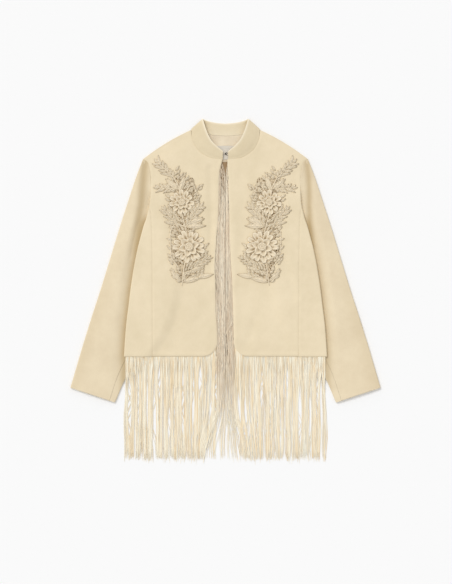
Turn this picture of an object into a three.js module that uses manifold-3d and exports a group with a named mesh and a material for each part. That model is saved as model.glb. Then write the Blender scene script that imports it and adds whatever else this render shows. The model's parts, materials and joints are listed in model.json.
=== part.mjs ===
// A cropped jacket in cream suede-like cloth, laid flat on its back: stand collar, open front with
// rounded lower corners, two-piece sleeves, raised flower lace on the chest, and a long thread fringe
// under the hem and inside both front edges.
// Millimetres. +X is the wearer's left, +Y runs from the hem to the collar, +Z is up from the surface
// that the jacket lies on. The origin is on that surface, in the middle of the jacket's length and width.
import * as THREE from "three";
import { mergeVertices } from "three/addons/utils/BufferGeometryUtils.js";
import Module from "manifold-3d";

const wasm = await Module();
wasm.setup();

// Driving sizes
const CLOTH = 2; // suede cloth with its lining
const COLLAR_CLOTH = 2; // two layers and an interlining
const SEAM = 0.3; // between two pieces that are sewn together
const HEM_Y = -164; // where the cloth ends and the fringe goes on
const SLEEVE_LIFT = 5.8; // how far the body is raised where it lies on a sleeve
const SLEEVE_UNDER_BODY = 5.0; // height of a sleeve where the body lies on it
const LIFT_MARGIN = 11; // how far past the sleeve it stays raised
const LIFT_RAMP = 32; // over which the back comes down to the surface beside a sleeve
const LIFT_END_Y = 228; // above this the back comes down to the surface again
const LIFT_GONE_Y = 274;
const FRONT_LEVEL = 5.8; // underside of the fronts over the middle of the back
const FRONT_LEVEL_SIDE = 10.8; // and where both lie on a sleeve
const HEM_LEVEL = 5.2; // underside of the fronts at the hem
const HEM_LEVEL_SIDE = 10.6;
const HEM_DROP = 46; // over which the fronts come down to the hem
const SHOULDER_LEVEL = 2.3; // underside of the fronts at the shoulder seam
const SHOULDER_ROLL = 34; // over which the fronts rise from the shoulder seam

// Half outlines: x is the distance from the centre line.
const ARMHOLE = [
  { x: 206, y: 328.5 },
  { x: 195.5, y: 322 },
  { x: 190, y: 306 },
  { x: 187.8, y: 288 },
  { x: 187, y: 266 },
  { x: 187, y: 244 },
  { x: 187.8, y: 224 },
  { x: 190, y: 207 },
];
// The rest of the armhole lies under the body.
const ARMHOLE_HIDDEN = [
  { x: 184, y: 196 },
  { x: 170, y: 190 },
];
const SLEEVE_OUTER = [
  { x: 206, y: 328.5 },
  { x: 221, y: 290 },
  { x: 242, y: 227 },
  { x: 264, y: 159 },
  { x: 287, y: 84 },
  { x: 310, y: 9 },
  { x: 335, y: -68 },
  { x: 358, y: -142 },
  { x: 380, y: -217 },
  { x: 387.5, y: -242 },
];
const SLEEVE_INNER = [
  { x: 170, y: 190 },
  { x: 155, y: 130 },
  { x: 144, y: 70 },
  { x: 143, y: 15 },
  { x: 154, y: -45 },
  { x: 181, y: -108 },
  { x: 217, y: -166 },
  { x: 252, y: -224 },
  { x: 276, y: -279 },
];
// The side panel: its seam to the front and to the back, and the edge where it folds round the side.
const SIDE = [
  { y: 196, seam: 186.8, edge: 194 },
  { y: 180, seam: 185.5, edge: 198 },
  { y: 163, seam: 184.6, edge: 204 },
  { y: 136, seam: 183.9, edge: 211.5 },
  { y: 105, seam: 183.4, edge: 219.5 },
  { y: 60, seam: 183, edge: 228.5 },
  { y: 5, seam: 182.8, edge: 237 },
  { y: -40, seam: 182.6, edge: 242.5 },
  { y: -80, seam: 182.4, edge: 247.5 },
  { y: -122, seam: 182.2, edge: 251 },
  { y: HEM_Y, seam: 182, edge: 253.5 },
];
// The two front edges lie a little unevenly: distance from the centre line to each.
const FRONT_EDGE = [
  { y: 327, right: 8, left: 4.5 },
  { y: 295, right: 15.5, left: 6.5 },
  { y: 262, right: 17, left: 8 },
  { y: 228, right: 17.5, left: 9 },
  { y: 190, right: 18.5, left: 10 },
  { y: 150, right: 21.5, left: 10.5 },
  { y: 105, right: 24.5, left: 12 },
  { y: 60, right: 27, left: 14.5 },
  { y: 10, right: 25, left: 17.5 },
  { y: -40, right: 25, left: 19 },
  { y: -85, right: 22, left: 20 },
  { y: -126, right: 20.5, left: 20.5 },
];
// Sections of a front, from the shoulder to the hem: a point on the neck or front edge, and one on the
// armhole or side seam. A section with no ix starts on the front edge, and corner is how far round the
// lower front corner it starts.
const FRONT_SECTIONS = [
  { ix: 86.5, iy: 401.5, ox: 206, oy: 328.5 },
  { ix: 83.5, iy: 380, ox: 195.5, oy: 322 },
  { ix: 74.5, iy: 359, ox: 190, oy: 306 },
  { ix: 58.5, iy: 343, ox: 187.8, oy: 288 },
  { ix: 36.5, iy: 332, ox: 187, oy: 266 },
  { iy: 327, ox: 187, oy: 244 },
  { iy: 295, ox: 187.8, oy: 224 },
  { iy: 262, ox: 190, oy: 207 },
  { iy: 228, ox: 186.8, oy: 196 },
  { iy: 190, ox: 185.5, oy: 180 },
  { iy: 150, ox: 184.6, oy: 163 },
  { iy: 105, ox: 183.9, oy: 136 },
  { iy: 60, ox: 183.4, oy: 105 },
  { iy: 10, ox: 183, oy: 60 },
  { iy: -40, ox: 182.8, oy: 5 },
  { iy: -85, ox: 182.6, oy: -40 },
  { corner: 0, ox: 182.4, oy: -80 },
  { corner: 30, ox: 182.2, oy: -122 },
  { corner: 60, ox: 182.1, oy: -145 },
  { corner: 90, ox: 182, oy: HEM_Y },
];
const FRONT_CORNER = 38; // radius of a front's lower corner
const FRONT_COLUMNS = [
  0, 0.06, 0.12, 0.18, 0.27, 0.38, 0.5, 0.62, 0.74, 0.84, 0.92, 1,
];
const SHOULDER_BOW = 4; // how far the shoulder seam bows out from a straight line
// Soft folds in the fronts, along a line from one point to another, as seen in plan.
const FRONT_FOLDS = [
  { side: -1, x0: 38, y0: 300, x1: 37, y1: 60, width: 11, rise: -1.3 },
  { side: -1, x0: 27, y0: 120, x1: 28, y1: 10, width: 7, rise: 1.6 },
  { side: 1, x0: 146, y0: 80, x1: 172, y1: -10, width: 13, rise: -1.5 },
  { side: 1, x0: 74, y0: -70, x1: 46, y1: -164, width: 14, rise: -1.2 },
  { side: 1, x0: 20, y0: 200, x1: 28, y1: -120, width: 9, rise: 0.8 },
  { side: -1, x0: 120, y0: -30, x1: 132, y1: -150, width: 16, rise: -0.9 },
];
// Sections of the back: the outer end, the shoulder line's neck end or its trace lower down, and the middle.
const BACK_SECTIONS = [
  { ox: 206, oy: 328.5, nx: 86.5, ny: 401.5, cy: 386.5 },
  { ox: 195.5, oy: 322, nx: 85, ny: 388, cy: 376 },
  { ox: 190, oy: 306, nx: 84, ny: 362, cy: 354 },
  { ox: 187.8, oy: 288, nx: 84, ny: 332, cy: 328 },
  { ox: 187, oy: 266, nx: 84, ny: 299, cy: 298 },
  { ox: 187, oy: 244, nx: 84, ny: 268, cy: 268 },
  { ox: 187.8, oy: 224, nx: 84, ny: 238, cy: 240 },
  { ox: 190, oy: 207, nx: 84, ny: 213, cy: 215 },
  { ox: 186.8, oy: 196, nx: 84, ny: 196, cy: 196 },
  { ox: 185.5, oy: 180, nx: 84, ny: 180, cy: 180 },
  { ox: 184.6, oy: 163, nx: 84, ny: 163, cy: 163 },
  { ox: 183.9, oy: 136, nx: 84, ny: 136, cy: 136 },
  { ox: 183.4, oy: 105, nx: 84, ny: 105, cy: 105 },
  { ox: 183, oy: 60, nx: 84, ny: 60, cy: 60 },
  { ox: 182.8, oy: 5, nx: 84, ny: 5, cy: 5 },
  { ox: 182.6, oy: -40, nx: 84, ny: -40, cy: -40 },
  { ox: 182.4, oy: -80, nx: 84, ny: -80, cy: -80 },
  { ox: 182.2, oy: -122, nx: 84, ny: -122, cy: -122 },
  { ox: 182, oy: HEM_Y, nx: 84, ny: HEM_Y, cy: HEM_Y },
];

// Cream suede with its trims, as colour and roughness
const PAINT = {
  suede: { color: 0xe8d8b9, roughness: 0.9 },
  collar: { color: 0xe4d3b2, roughness: 0.9 },
  lining: { color: 0xe6d6bf, roughness: 0.6 },
  label: { color: 0xd8d4cd, roughness: 0.7 },
  lace: { color: 0xcbb996, roughness: 0.9 },
  thread: { color: 0xe9dcc0, roughness: 0.6 },
  wire: { color: 0x35322f, roughness: 0.35, metalness: 0.9 },
};

const jacket = new THREE.Group();

function add(name, geometry, paint) {
  const mesh = new THREE.Mesh(
    geometry,
    new THREE.MeshStandardMaterial(PAINT[paint]),
  );
  mesh.name = name;
  jacket.add(mesh);
  return mesh;
}

// 0 below 0, 1 above 1, with no kink between
function smooth(t) {
  const c = Math.min(1, Math.max(0, t));
  return c * c * (3 - 2 * c);
}

function mix(a, b, t) {
  return a + (b - a) * t;
}

// The value of one column of a table where another column has the value given, on straight lines.
function read(table, key, value, column) {
  const rising = table[table.length - 1][key] > table[0][key];
  let k = 0;
  while (
    k < table.length - 2 &&
    (rising ? value > table[k + 1][key] : value < table[k + 1][key])
  )
    k += 1;
  const [a, b] = [table[k], table[k + 1]];
  const t = Math.min(1, Math.max(0, (value - a[key]) / (b[key] - a[key])));
  return mix(a[column], b[column], t);
}

// A point part of the way along a polyline of {x, y}, by length.
function travel(line, share) {
  const lengths = line
    .slice(1)
    .map((p, k) => Math.hypot(p.x - line[k].x, p.y - line[k].y));
  let left = share * lengths.reduce((a, b) => a + b, 0);
  let k = 0;
  while (k < lengths.length - 1 && left > lengths[k]) {
    left -= lengths[k];
    k += 1;
  }
  const t = left / lengths[k];
  return {
    x: mix(line[k].x, line[k + 1].x, t),
    y: mix(line[k].y, line[k + 1].y, t),
  };
}

// Distance from a point to the line between two others.
function distanceTo(x, y, x0, y0, x1, y1) {
  const [dx, dy] = [x1 - x0, y1 - y0];
  const t = Math.min(
    1,
    Math.max(0, ((x - x0) * dx + (y - y0) * dy) / (dx * dx + dy * dy)),
  );
  return Math.hypot(x - x0 - t * dx, y - y0 - t * dy);
}

// Heights of the layers above the surface, at a distance x from the centre line

// How fully the body lies on a sleeve, 0 to 1
function onSleeve(x, y) {
  const past = read(SLEEVE_INNER, "y", y, "x") - LIFT_MARGIN - x;
  const across = smooth(1 - past / LIFT_RAMP);
  const above = 1 - smooth((y - LIFT_END_Y) / (LIFT_GONE_Y - LIFT_END_Y));
  return across * above;
}

function backUnderside(x, y) {
  return SLEEVE_LIFT * onSleeve(x, y);
}

// Distance below the shoulder seam
function belowShoulder(x, y) {
  return distanceTo(x, y, 86.5, 402, 206, 330);
}

function frontUnderside(x, y, side) {
  const on = onSleeve(x, y);
  const open = mix(FRONT_LEVEL, FRONT_LEVEL_SIDE, on);
  const hem = mix(HEM_LEVEL, HEM_LEVEL_SIDE, on);
  const low = mix(hem, open, smooth((y - HEM_Y) / HEM_DROP));
  const rise = smooth(belowShoulder(x, y) / SHOULDER_ROLL);
  let z = mix(SHOULDER_LEVEL, low, rise);
  for (const f of FRONT_FOLDS) {
    if (f.side !== side) continue;
    const d = distanceTo(x, y, f.x0, f.y0, f.x1, f.y1) / f.width;
    const clear = smooth((y - HEM_Y) / HEM_DROP) * rise;
    z += f.rise * Math.exp(-d * d) * clear;
  }
  return z;
}

// Solids

// A geometry from triangles that are lists of three Vector3, with its faces turned to point outwards.
function closed(triangles) {
  let volume = 0;
  for (const [a, b, c] of triangles)
    volume += a.dot(new THREE.Vector3().crossVectors(b, c));
  const numbers = [];
  for (const [a, b, c] of triangles)
    for (const p of volume < 0 ? [a, c, b] : [a, b, c])
      numbers.push(p.x, p.y, p.z);
  const geometry = new THREE.BufferGeometry();
  geometry.setAttribute(
    "position",
    new THREE.Float32BufferAttribute(numbers, 3),
  );
  return geometry;
}

// A wall of cloth between an outer and an inner grid of points that have the same rows and columns.
function wall(outer, inner) {
  const rows = outer.length;
  const columns = outer[0].length;
  const triangles = [];
  const quad = (a, b, c, d) => triangles.push([a, b, c], [a, c, d]);
  for (let i = 0; i + 1 < rows; i += 1) {
    for (let j = 0; j + 1 < columns; j += 1) {
      quad(outer[i][j], outer[i + 1][j], outer[i + 1][j + 1], outer[i][j + 1]);
      quad(inner[i][j], inner[i][j + 1], inner[i + 1][j + 1], inner[i + 1][j]);
    }
    const last = columns - 1;
    quad(outer[i][0], inner[i][0], inner[i + 1][0], outer[i + 1][0]);
    quad(
      outer[i][last],
      outer[i + 1][last],
      inner[i + 1][last],
      inner[i][last],
    );
  }
  for (let j = 0; j + 1 < columns; j += 1) {
    const end = rows - 1;
    quad(outer[0][j], outer[0][j + 1], inner[0][j + 1], inner[0][j]);
    quad(outer[end][j], inner[end][j], inner[end][j + 1], outer[end][j + 1]);
  }
  return closed(triangles);
}

// The top and underside of a sheet over a grid of plan points {x, y}, from the height of its underside.
function faces(plan, underside, thickness) {
  const at = (lift) =>
    plan.map((row) =>
      row.map((p) => new THREE.Vector3(p.x, p.y, underside(p.x, p.y) + lift)),
    );
  return { top: at(thickness), under: at(0) };
}

// The height of one or more grids of points at a place in plan, on their flat facets.
function heightOn(...grids) {
  const facets = [];
  for (const grid of grids)
    for (let i = 0; i + 1 < grid.length; i += 1)
      for (let j = 0; j + 1 < grid[i].length; j += 1) {
        const [a, b] = [grid[i][j], grid[i + 1][j]];
        const [c, d] = [grid[i + 1][j + 1], grid[i][j + 1]];
        facets.push([a, b, c], [a, c, d]);
      }
  return (x, y) => {
    let best = -Infinity;
    let height = 0;
    for (const [a, b, c] of facets) {
      const whole = (b.x - a.x) * (c.y - a.y) - (c.x - a.x) * (b.y - a.y);
      if (Math.abs(whole) < 1e-6) continue;
      const v = ((x - a.x) * (c.y - a.y) - (c.x - a.x) * (y - a.y)) / whole;
      const w = ((b.x - a.x) * (y - a.y) - (x - a.x) * (b.y - a.y)) / whole;
      const inside = Math.min(1 - v - w, v, w);
      if (inside <= best) continue;
      best = inside;
      height = (1 - v - w) * a.z + v * b.z + w * c.z;
      if (inside >= 0) break;
    }
    return height;
  };
}

function toSolid(geometry) {
  const bare = geometry.clone();
  bare.deleteAttribute("normal");
  bare.deleteAttribute("uv");
  const merged = mergeVertices(bare, 1e-4);
  return new wasm.Manifold(
    new wasm.Mesh({
      numProp: 3,
      vertProperties: new Float32Array(merged.attributes.position.array),
      triVerts: new Uint32Array(merged.index.array),
    }),
  );
}

function toGeometry(solid) {
  const mesh = solid.getMesh();
  const geometry = new THREE.BufferGeometry();
  const places = new Float32Array(mesh.numVert * 3);
  for (let i = 0; i < mesh.numVert; i += 1)
    places.set(
      mesh.vertProperties.subarray(i * mesh.numProp, i * mesh.numProp + 3),
      i * 3,
    );
  geometry.setAttribute("position", new THREE.BufferAttribute(places, 3));
  geometry.setIndex(new THREE.BufferAttribute(mesh.triVerts, 1));
  return geometry;
}

// The height of a solid's thinnest facet
function thinnest(solid) {
  const { vertProperties, triVerts, numProp } = solid.getMesh();
  const corner = (k) =>
    new THREE.Vector3().fromArray(vertProperties, triVerts[k] * numProp);
  let least = Infinity;
  for (let k = 0; k < triVerts.length; k += 3) {
    const facet = new THREE.Triangle(corner(k), corner(k + 1), corner(k + 2));
    const longest = Math.max(
      facet.a.distanceTo(facet.b),
      facet.b.distanceTo(facet.c),
      facet.c.distanceTo(facet.a),
    );
    least = Math.min(least, (2 * facet.getArea()) / longest);
  }
  return least;
}

// One solid from many that overlap, with the finest facets left out: of several tolerances, the one that
// leaves no slivers
function joined(geometries, tolerances) {
  const whole = geometries.map(toSolid).reduce((sum, piece) => sum.add(piece));
  const tried = tolerances.map((tolerance) =>
    whole.asOriginal().simplify(tolerance).asOriginal().simplify(tolerance / 2),
  );
  const clean = tried.map(thinnest);
  return toGeometry(tried[clean.indexOf(Math.max(...clean))]);
}

// Back
const BACK_INNER = 3; // columns from the middle to the neck end
const BACK_OUTER = 6; // and from there to the side

// How far a point a share of the way along the shoulder seam bows out, as x and y
function shoulderBow(share) {
  const bow = SHOULDER_BOW * 4 * share * (1 - share);
  return { x: bow * 0.52, y: bow * 0.85 };
}

function backPlan() {
  return BACK_SECTIONS.map((s, row) => {
    const half = [];
    for (let k = 0; k <= BACK_INNER; k += 1) {
      const t = k / BACK_INNER;
      half.push({ x: s.nx * t, y: mix(s.cy, s.ny, t * t) });
    }
    for (let k = 1; k <= BACK_OUTER; k += 1) {
      const t = k / BACK_OUTER;
      const bow = row === 0 ? shoulderBow(t) : { x: 0, y: 0 };
      half.push({
        x: mix(s.nx, s.ox - SEAM, t) + bow.x,
        y: mix(s.ny, s.oy, t) + bow.y,
      });
    }
    const other = half
      .slice(1)
      .reverse()
      .map((p) => ({ x: -p.x, y: p.y }));
    return [...other, ...half];
  });
}

const back = faces(
  backPlan(),
  (x, y) => backUnderside(Math.abs(x), y),
  CLOTH,
);
add("back", wall(back.top, back.under), "suede");

// Fronts
const SIDES = [
  { side: -1, word: "right" }, // the wearer's right, on the left of the picture
  { side: 1, word: "left" },
];

function frontEdge(y, word) {
  return read(FRONT_EDGE, "y", y, word);
}

// A point on the lower front corner, from 0 degrees on the front edge to 90 on the hem
function cornerPoint(degrees, word, radius = FRONT_CORNER) {
  const turn = (degrees * Math.PI) / 180;
  const edge = frontEdge(HEM_Y + FRONT_CORNER, word);
  return {
    x: edge + FRONT_CORNER - radius * Math.cos(turn),
    y: HEM_Y + FRONT_CORNER - radius * Math.sin(turn),
  };
}

// A front's inner end of a section, at a distance x from the centre line
function innerEnd(section, word) {
  if (section.ix !== undefined) return { x: section.ix, y: section.iy };
  if (section.corner !== undefined) return cornerPoint(section.corner, word);
  return { x: frontEdge(section.iy, word), y: section.iy };
}

function frontPlan(side, word) {
  return FRONT_SECTIONS.map((s, row) => {
    const start = innerEnd(s, word);
    return FRONT_COLUMNS.map((t) => {
      const bow = row === 0 ? shoulderBow(t) : { x: 0, y: 0 };
      return {
        x: side * (mix(start.x, s.ox - SEAM, t) + bow.x),
        y: mix(start.y, s.oy, t) + bow.y,
      };
    });
  });
}

const fronts = {};
for (const { side, word } of SIDES) {
  const height = (x, y) => frontUnderside(Math.abs(x), y, side);
  fronts[word] = faces(frontPlan(side, word), height, CLOTH);
  add(`front_${word}`, wall(fronts[word].top, fronts[word].under), "suede");
}

// Side panels: from the back seam out, round the side fold and in to the front seam
const FOLD_STEPS = 6;
const LEAF_STEPS = 3;

function sidePanel(side) {
  const rows = SIDE.map((s) => {
    const start = s.seam + SEAM;
    const low = backUnderside(s.edge, s.y);
    const high = frontUnderside(s.edge, s.y, side) + CLOTH;
    const radius = (high - low) / 2;
    const turn = s.edge - radius;
    const [outer, inner] = [[], []];
    const point = (x, z) => new THREE.Vector3(side * x, s.y, z);
    for (let k = 0; k < LEAF_STEPS; k += 1) {
      const x = mix(start, turn, k / LEAF_STEPS);
      const z = mix(backUnderside(x, s.y), low, k / LEAF_STEPS);
      outer.push(point(x, z));
      inner.push(point(x, z + CLOTH));
    }
    for (let k = 0; k <= FOLD_STEPS; k += 1) {
      const a = (Math.PI * k) / FOLD_STEPS;
      const [wide, narrow] = [radius, radius - CLOTH];
      const middle = low + radius;
      outer.push(
        point(turn + wide * Math.sin(a), middle - wide * Math.cos(a)),
      );
      inner.push(
        point(turn + narrow * Math.sin(a), middle - narrow * Math.cos(a)),
      );
    }
    for (let k = LEAF_STEPS - 1; k >= 0; k -= 1) {
      const x = mix(start, turn, k / LEAF_STEPS);
      const open = frontUnderside(x, s.y, side);
      const z = mix(open, high - CLOTH, k / LEAF_STEPS);
      outer.push(point(x, z + CLOTH));
      inner.push(point(x, z));
    }
    return { outer, inner };
  });
  const last = rows[0].outer.length;
  return {
    outer: rows.map((row) => row.outer),
    inner: rows.map((row) => row.inner),
    lowerUnder: rows.map((row) => row.outer.slice(0, LEAF_STEPS + 1)),
    upperUnder: rows.map((row) => row.inner.slice(last - LEAF_STEPS - 1)),
  };
}

const sidePanels = {};
for (const { side, word } of SIDES) {
  sidePanels[word] = sidePanel(side);
  const { outer, inner } = sidePanels[word];
  add(`side_panel_${word}`, wall(outer, inner), "suede");
}

// Sleeves: each section goes from the seam under the sleeve round the outer fold and over the top to
// the seam near the inner fold, then the under sleeve goes on round the inner fold and back below.
const SLEEVE_TOP = [...ARMHOLE, ...ARMHOLE_HIDDEN];
const SLEEVE_ROWS = [
  0, 0.035, 0.075, 0.12, 0.175, 0.24, 0.32, 0.41, 0.51, 0.61, 0.71, 0.81, 0.91,
  1,
];
const SLEEVE_HOLD = 0.34; // share of the length over which the armhole's curve fades out
const OUTER_FOLD = 6.6; // height of a sleeve at its outer fold
const SLEEVE_CROWN = 7.9; // and along its middle
const CUFF_HEIGHT = 6.4;
const VALLEY_WIDTH = 12; // the hollow beside the body's edge, where the body rests on the sleeve
const VALLEY_REACH = 24;
const SEAM_ROLL = 9; // how far the armhole seam holds the sleeve's top level with the front
const END_STEPS = 4; // steps round a sleeve's fold
const SEAM_UNDER = 0.2; // where the seam between the two sleeve pieces runs across the underside
const SEAM_TOP = [
  { u: 0, t: 0.82 },
  { u: 0.75, t: 0.82 },
  { u: 1, t: 0.88 },
];

// A place on a sleeve in plan: u is 0 at the armhole and 1 at the cuff, t is 0 at the outer fold and 1
// at the inner.
function sleevePlan(u, t) {
  const from = travel(SLEEVE_OUTER, u);
  const to = travel(SLEEVE_INNER, u);
  const place = t * (SLEEVE_TOP.length - 1);
  const k = Math.min(SLEEVE_TOP.length - 2, Math.floor(place));
  const first = SLEEVE_TOP[0];
  const last = SLEEVE_TOP[SLEEVE_TOP.length - 1];
  const seamX = mix(SLEEVE_TOP[k].x, SLEEVE_TOP[k + 1].x, place - k);
  const seamY = mix(SLEEVE_TOP[k].y, SLEEVE_TOP[k + 1].y, place - k);
  const hold = Math.max(0, 1 - u / SLEEVE_HOLD) ** 2;
  return {
    x: mix(from.x, to.x, t) + (seamX - mix(first.x, last.x, t)) * hold,
    y: mix(from.y, to.y, t) + (seamY - mix(first.y, last.y, t)) * hold,
  };
}

// The body's outline where it lies beside or on a sleeve
function bodyEdge(y) {
  if (y > ARMHOLE[ARMHOLE.length - 1].y) return read(ARMHOLE, "y", y, "x");
  return read(SIDE, "y", y, "edge");
}

// Height of a sleeve's upper surface
function sleeveTop(u, t) {
  const { x, y } = sleevePlan(u, t);
  const beyond = x - bodyEdge(y);
  const crown = mix(SLEEVE_CROWN, CUFF_HEIGHT, smooth((u - 0.6) / 0.4));
  const across = Math.sin(Math.PI * Math.min(1, t / 0.9));
  const open = mix(mix(OUTER_FOLD, CUFF_HEIGHT, u), crown, across);
  const low = smooth((y - LIFT_END_Y) / 26);
  const seam = mix(SLEEVE_UNDER_BODY, FRONT_LEVEL + CLOTH, low);
  const valley = mix(SLEEVE_UNDER_BODY, seam - 1.2, low);
  const out = smooth((beyond - 2) / VALLEY_REACH);
  const beside = mix(valley, open, out);
  const held = 1 - smooth(beyond / SEAM_ROLL);
  return mix(beside, mix(SLEEVE_UNDER_BODY, seam, low), held);
}

// One point of a sleeve's wall, pushed out across the sleeve by different amounts on its two faces.
function sleevePoint(side, u, t, push, heights) {
  const p = sleevePlan(u, t);
  const a = sleevePlan(u, 0);
  const b = sleevePlan(u, 1);
  const length = Math.hypot(b.x - a.x, b.y - a.y);
  const [dx, dy] = [(a.x - b.x) / length, (a.y - b.y) / length];
  const place = (out, z) =>
    new THREE.Vector3(side * (p.x + SEAM + dx * out), p.y + dy * out, z);
  return {
    outer: place(push.outer, heights.outer),
    inner: place(push.inner, heights.inner),
  };
}

function sleeveSection(side, u) {
  const a = sleevePlan(u, 0);
  const b = sleevePlan(u, 1);
  const gap = SEAM / 2 / Math.hypot(b.x - a.x, b.y - a.y);
  const cut = read(SEAM_TOP, "u", u, "t");
  // the two folds' centres lie in from the edges by their radius
  const tuck = (t) => {
    if (t <= 0) return -sleeveTop(u, 0) / 2;
    if (t >= 1) return sleeveTop(u, 1) / 2;
    return 0;
  };
  const level = (t, outer, inner) =>
    sleevePoint(
      side,
      u,
      t,
      { outer: tuck(t), inner: tuck(t) },
      { outer, inner },
    );
  const top = (t) => level(t, sleeveTop(u, t), sleeveTop(u, t) - CLOTH);
  const under = (t) => level(t, 0, CLOTH);
  const fold = (t, sign, rising) => {
    const radius = sleeveTop(u, t) / 2;
    const points = [];
    for (let k = 1; k < END_STEPS; k += 1) {
      const turn = (Math.PI * (rising ? k : END_STEPS - k)) / END_STEPS;
      const out = (r) => sign * (r * Math.sin(turn) - radius);
      const up = (r) => radius - r * Math.cos(turn);
      points.push(
        sleevePoint(
          side,
          u,
          t,
          { outer: out(radius), inner: out(radius - CLOTH) },
          { outer: up(radius), inner: up(radius - CLOTH) },
        ),
      );
    }
    return points;
  };
  const columns = SLEEVE_TOP.map((_, k) => k / (SLEEVE_TOP.length - 1));
  return {
    upper: [
      under(SEAM_UNDER - gap),
      under(0),
      ...fold(0, 1, true),
      ...columns.filter((t) => t < 0.79).map(top),
      top(cut - gap),
    ],
    under: [
      top(cut + gap),
      top(mix(cut, 1, 0.5)),
      top(1),
      ...fold(1, -1, false),
      ...[1, 0.85, 0.7, 0.55, 0.4].map(under),
      under(SEAM_UNDER + gap),
    ],
  };
}

for (const { side, word } of SIDES) {
  const sections = SLEEVE_ROWS.map((u) => sleeveSection(side, u));
  for (const piece of ["upper", "under"]) {
    const grid = (face) => sections.map((s) => s[piece].map((p) => p[face]));
    add(`${piece}_sleeve_${word}`, wall(grid("outer"), grid("inner")), "suede");
  }
}

// Collar: a band standing at the neck, pressed flat so that it folds at each side. Each station has the
// middle of the cloth at its neck edge and at its free edge; the last is at the middle of the back.
const COLLAR = [
  { bx: 7, by: 327.8, bz: 6.8, tx: 6.5, ty: 348, tz: 9.6 },
  { bx: 22, by: 330.1, bz: 6.8, tx: 12.5, ty: 353, tz: 10.6 },
  { bx: 36.4, by: 332.5, bz: 6.8, tx: 19.5, ty: 359, tz: 11.8 },
  { bx: 47.3, by: 338, bz: 6.8, tx: 27.5, ty: 366.5, tz: 12.8 },
  { bx: 58.1, by: 343.5, bz: 6.8, tx: 35, ty: 375, tz: 13.6 },
  { bx: 66.1, by: 351.4, bz: 6.8, tx: 41, ty: 385, tz: 14 },
  { bx: 74, by: 359.3, bz: 6.8, tx: 45.5, ty: 395, tz: 13.8 },
  { bx: 78.5, by: 369.8, bz: 6.6, tx: 49.5, ty: 406, tz: 13 },
  { bx: 82.9, by: 380.2, bz: 5.6, tx: 52.6, ty: 416, tz: 11.6 },
  { bx: 84.4, by: 390.8, bz: 4.8, tx: 54.8, ty: 423.5, tz: 9.8 },
  { bx: 85, by: 398.5, bz: 4.1, tx: 56.2, ty: 427.4, tz: 7.4 },
  { bx: 85.2, by: 403.2, bz: 2.7, tx: 56.6, ty: 428.9, tz: 4.6 },
  { bx: 83.4, by: 402.6, bz: 1.2, tx: 54.4, ty: 428.2, tz: 1.6 },
  { bx: 76, by: 399.1, bz: 1, tx: 48, ty: 425.4, tz: 1 },
  { bx: 57.7, by: 393.7, bz: 1, tx: 36, ty: 422, tz: 1 },
  { bx: 28.8, by: 388.7, bz: 1, tx: 18, ty: 418.9, tz: 1 },
  { bx: 0, by: 386.9, bz: 1, tx: 0, ty: 417.4, tz: 1 },
];
const COLLAR_STEPS = 3; // from the neck edge to the free edge

// Both faces of a grid of points at the middle of the cloth
function thicken(grid, thickness) {
  const step = (list, k, way) =>
    list[Math.min(list.length - 1, Math.max(0, k + way))];
  const shift = (sign) =>
    grid.map((row, i) =>
      row.map((p, j) => {
        const along = new THREE.Vector3().subVectors(
          step(grid, i, 1)[j],
          step(grid, i, -1)[j],
        );
        const across = new THREE.Vector3().subVectors(
          step(row, j, 1),
          step(row, j, -1),
        );
        const normal = along.cross(across).normalize();
        return p.clone().addScaledVector(normal, (sign * thickness) / 2);
      }),
    );
  return { outer: shift(1), inner: shift(-1) };
}

function collarGrid() {
  const station = (s, side) => {
    const row = [];
    for (let k = 0; k <= COLLAR_STEPS; k += 1) {
      const t = k / COLLAR_STEPS;
      row.push(
        new THREE.Vector3(
          side * mix(s.bx, s.tx, t),
          mix(s.by, s.ty, t),
          mix(s.bz, s.tz, t),
        ),
      );
    }
    return row;
  };
  return [
    ...COLLAR.map((s) => station(s, -1)),
    ...COLLAR.slice(0, -1)
      .reverse()
      .map((s) => station(s, 1)),
  ];
}

const collar = thicken(collarGrid(), COLLAR_CLOTH);
add("band_collar", wall(collar.outer, collar.inner), "collar");

// Back neck facing and blank label, both lying on the inside of the back
const FACING_CLOTH = 0.8;
const FACING = [
  { x: 0, top: 386, bottom: 322 },
  { x: 28.8, top: 387.7, bottom: 322.8 },
  { x: 57.7, top: 392.7, bottom: 326.5 },
  { x: 72, top: 396.8, bottom: 330 },
];
const FACING_ROWS = 3;
const LABEL = { width: 55, top: 362, bottom: 327.5, thickness: 0.6 };

function facingPlan() {
  const column = (s, side) => {
    const points = [];
    for (let k = 0; k <= FACING_ROWS; k += 1)
      points.push({
        x: side * s.x,
        y: mix(s.top, s.bottom, k / FACING_ROWS),
      });
    return points;
  };
  return [
    ...FACING.slice(1)
      .reverse()
      .map((s) => column(s, -1)),
    ...FACING.map((s) => column(s, 1)),
  ];
}

const onBack = heightOn(back.top);
const facing = faces(facingPlan(), (x, y) => onBack(x, y) + SEAM, FACING_CLOTH);
add("back_neck_facing", wall(facing.top, facing.under), "lining");

const onFacing = heightOn(facing.top);
const labelPlan = [-0.5, -0.17, 0.17, 0.5].map((share) =>
  [LABEL.top, LABEL.bottom].map((y) => ({ x: LABEL.width * share, y })),
);
const label = faces(
  labelPlan,
  (x, y) => onFacing(x, y) + SEAM,
  LABEL.thickness,
);
add("neck_label", wall(label.top, label.under), "label");

// Hook and eye between the collar's ends
const WIRE = 0.55; // radius
const CLOSURE_Y = 342;
const HOOK_PATH = [
  { x: -13, z: 6.1 },
  { x: -8, z: 6.3 },
  { x: -4, z: 7.8 },
  { x: 0.2, z: 8.4 },
  { x: 2.1, z: 7.2 },
  { x: 0.6, z: 5.6 },
  { x: -2.4, z: 5.5 },
];
const EYE = { reach: 12, z: 6.9, half: 2.6 };

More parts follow.
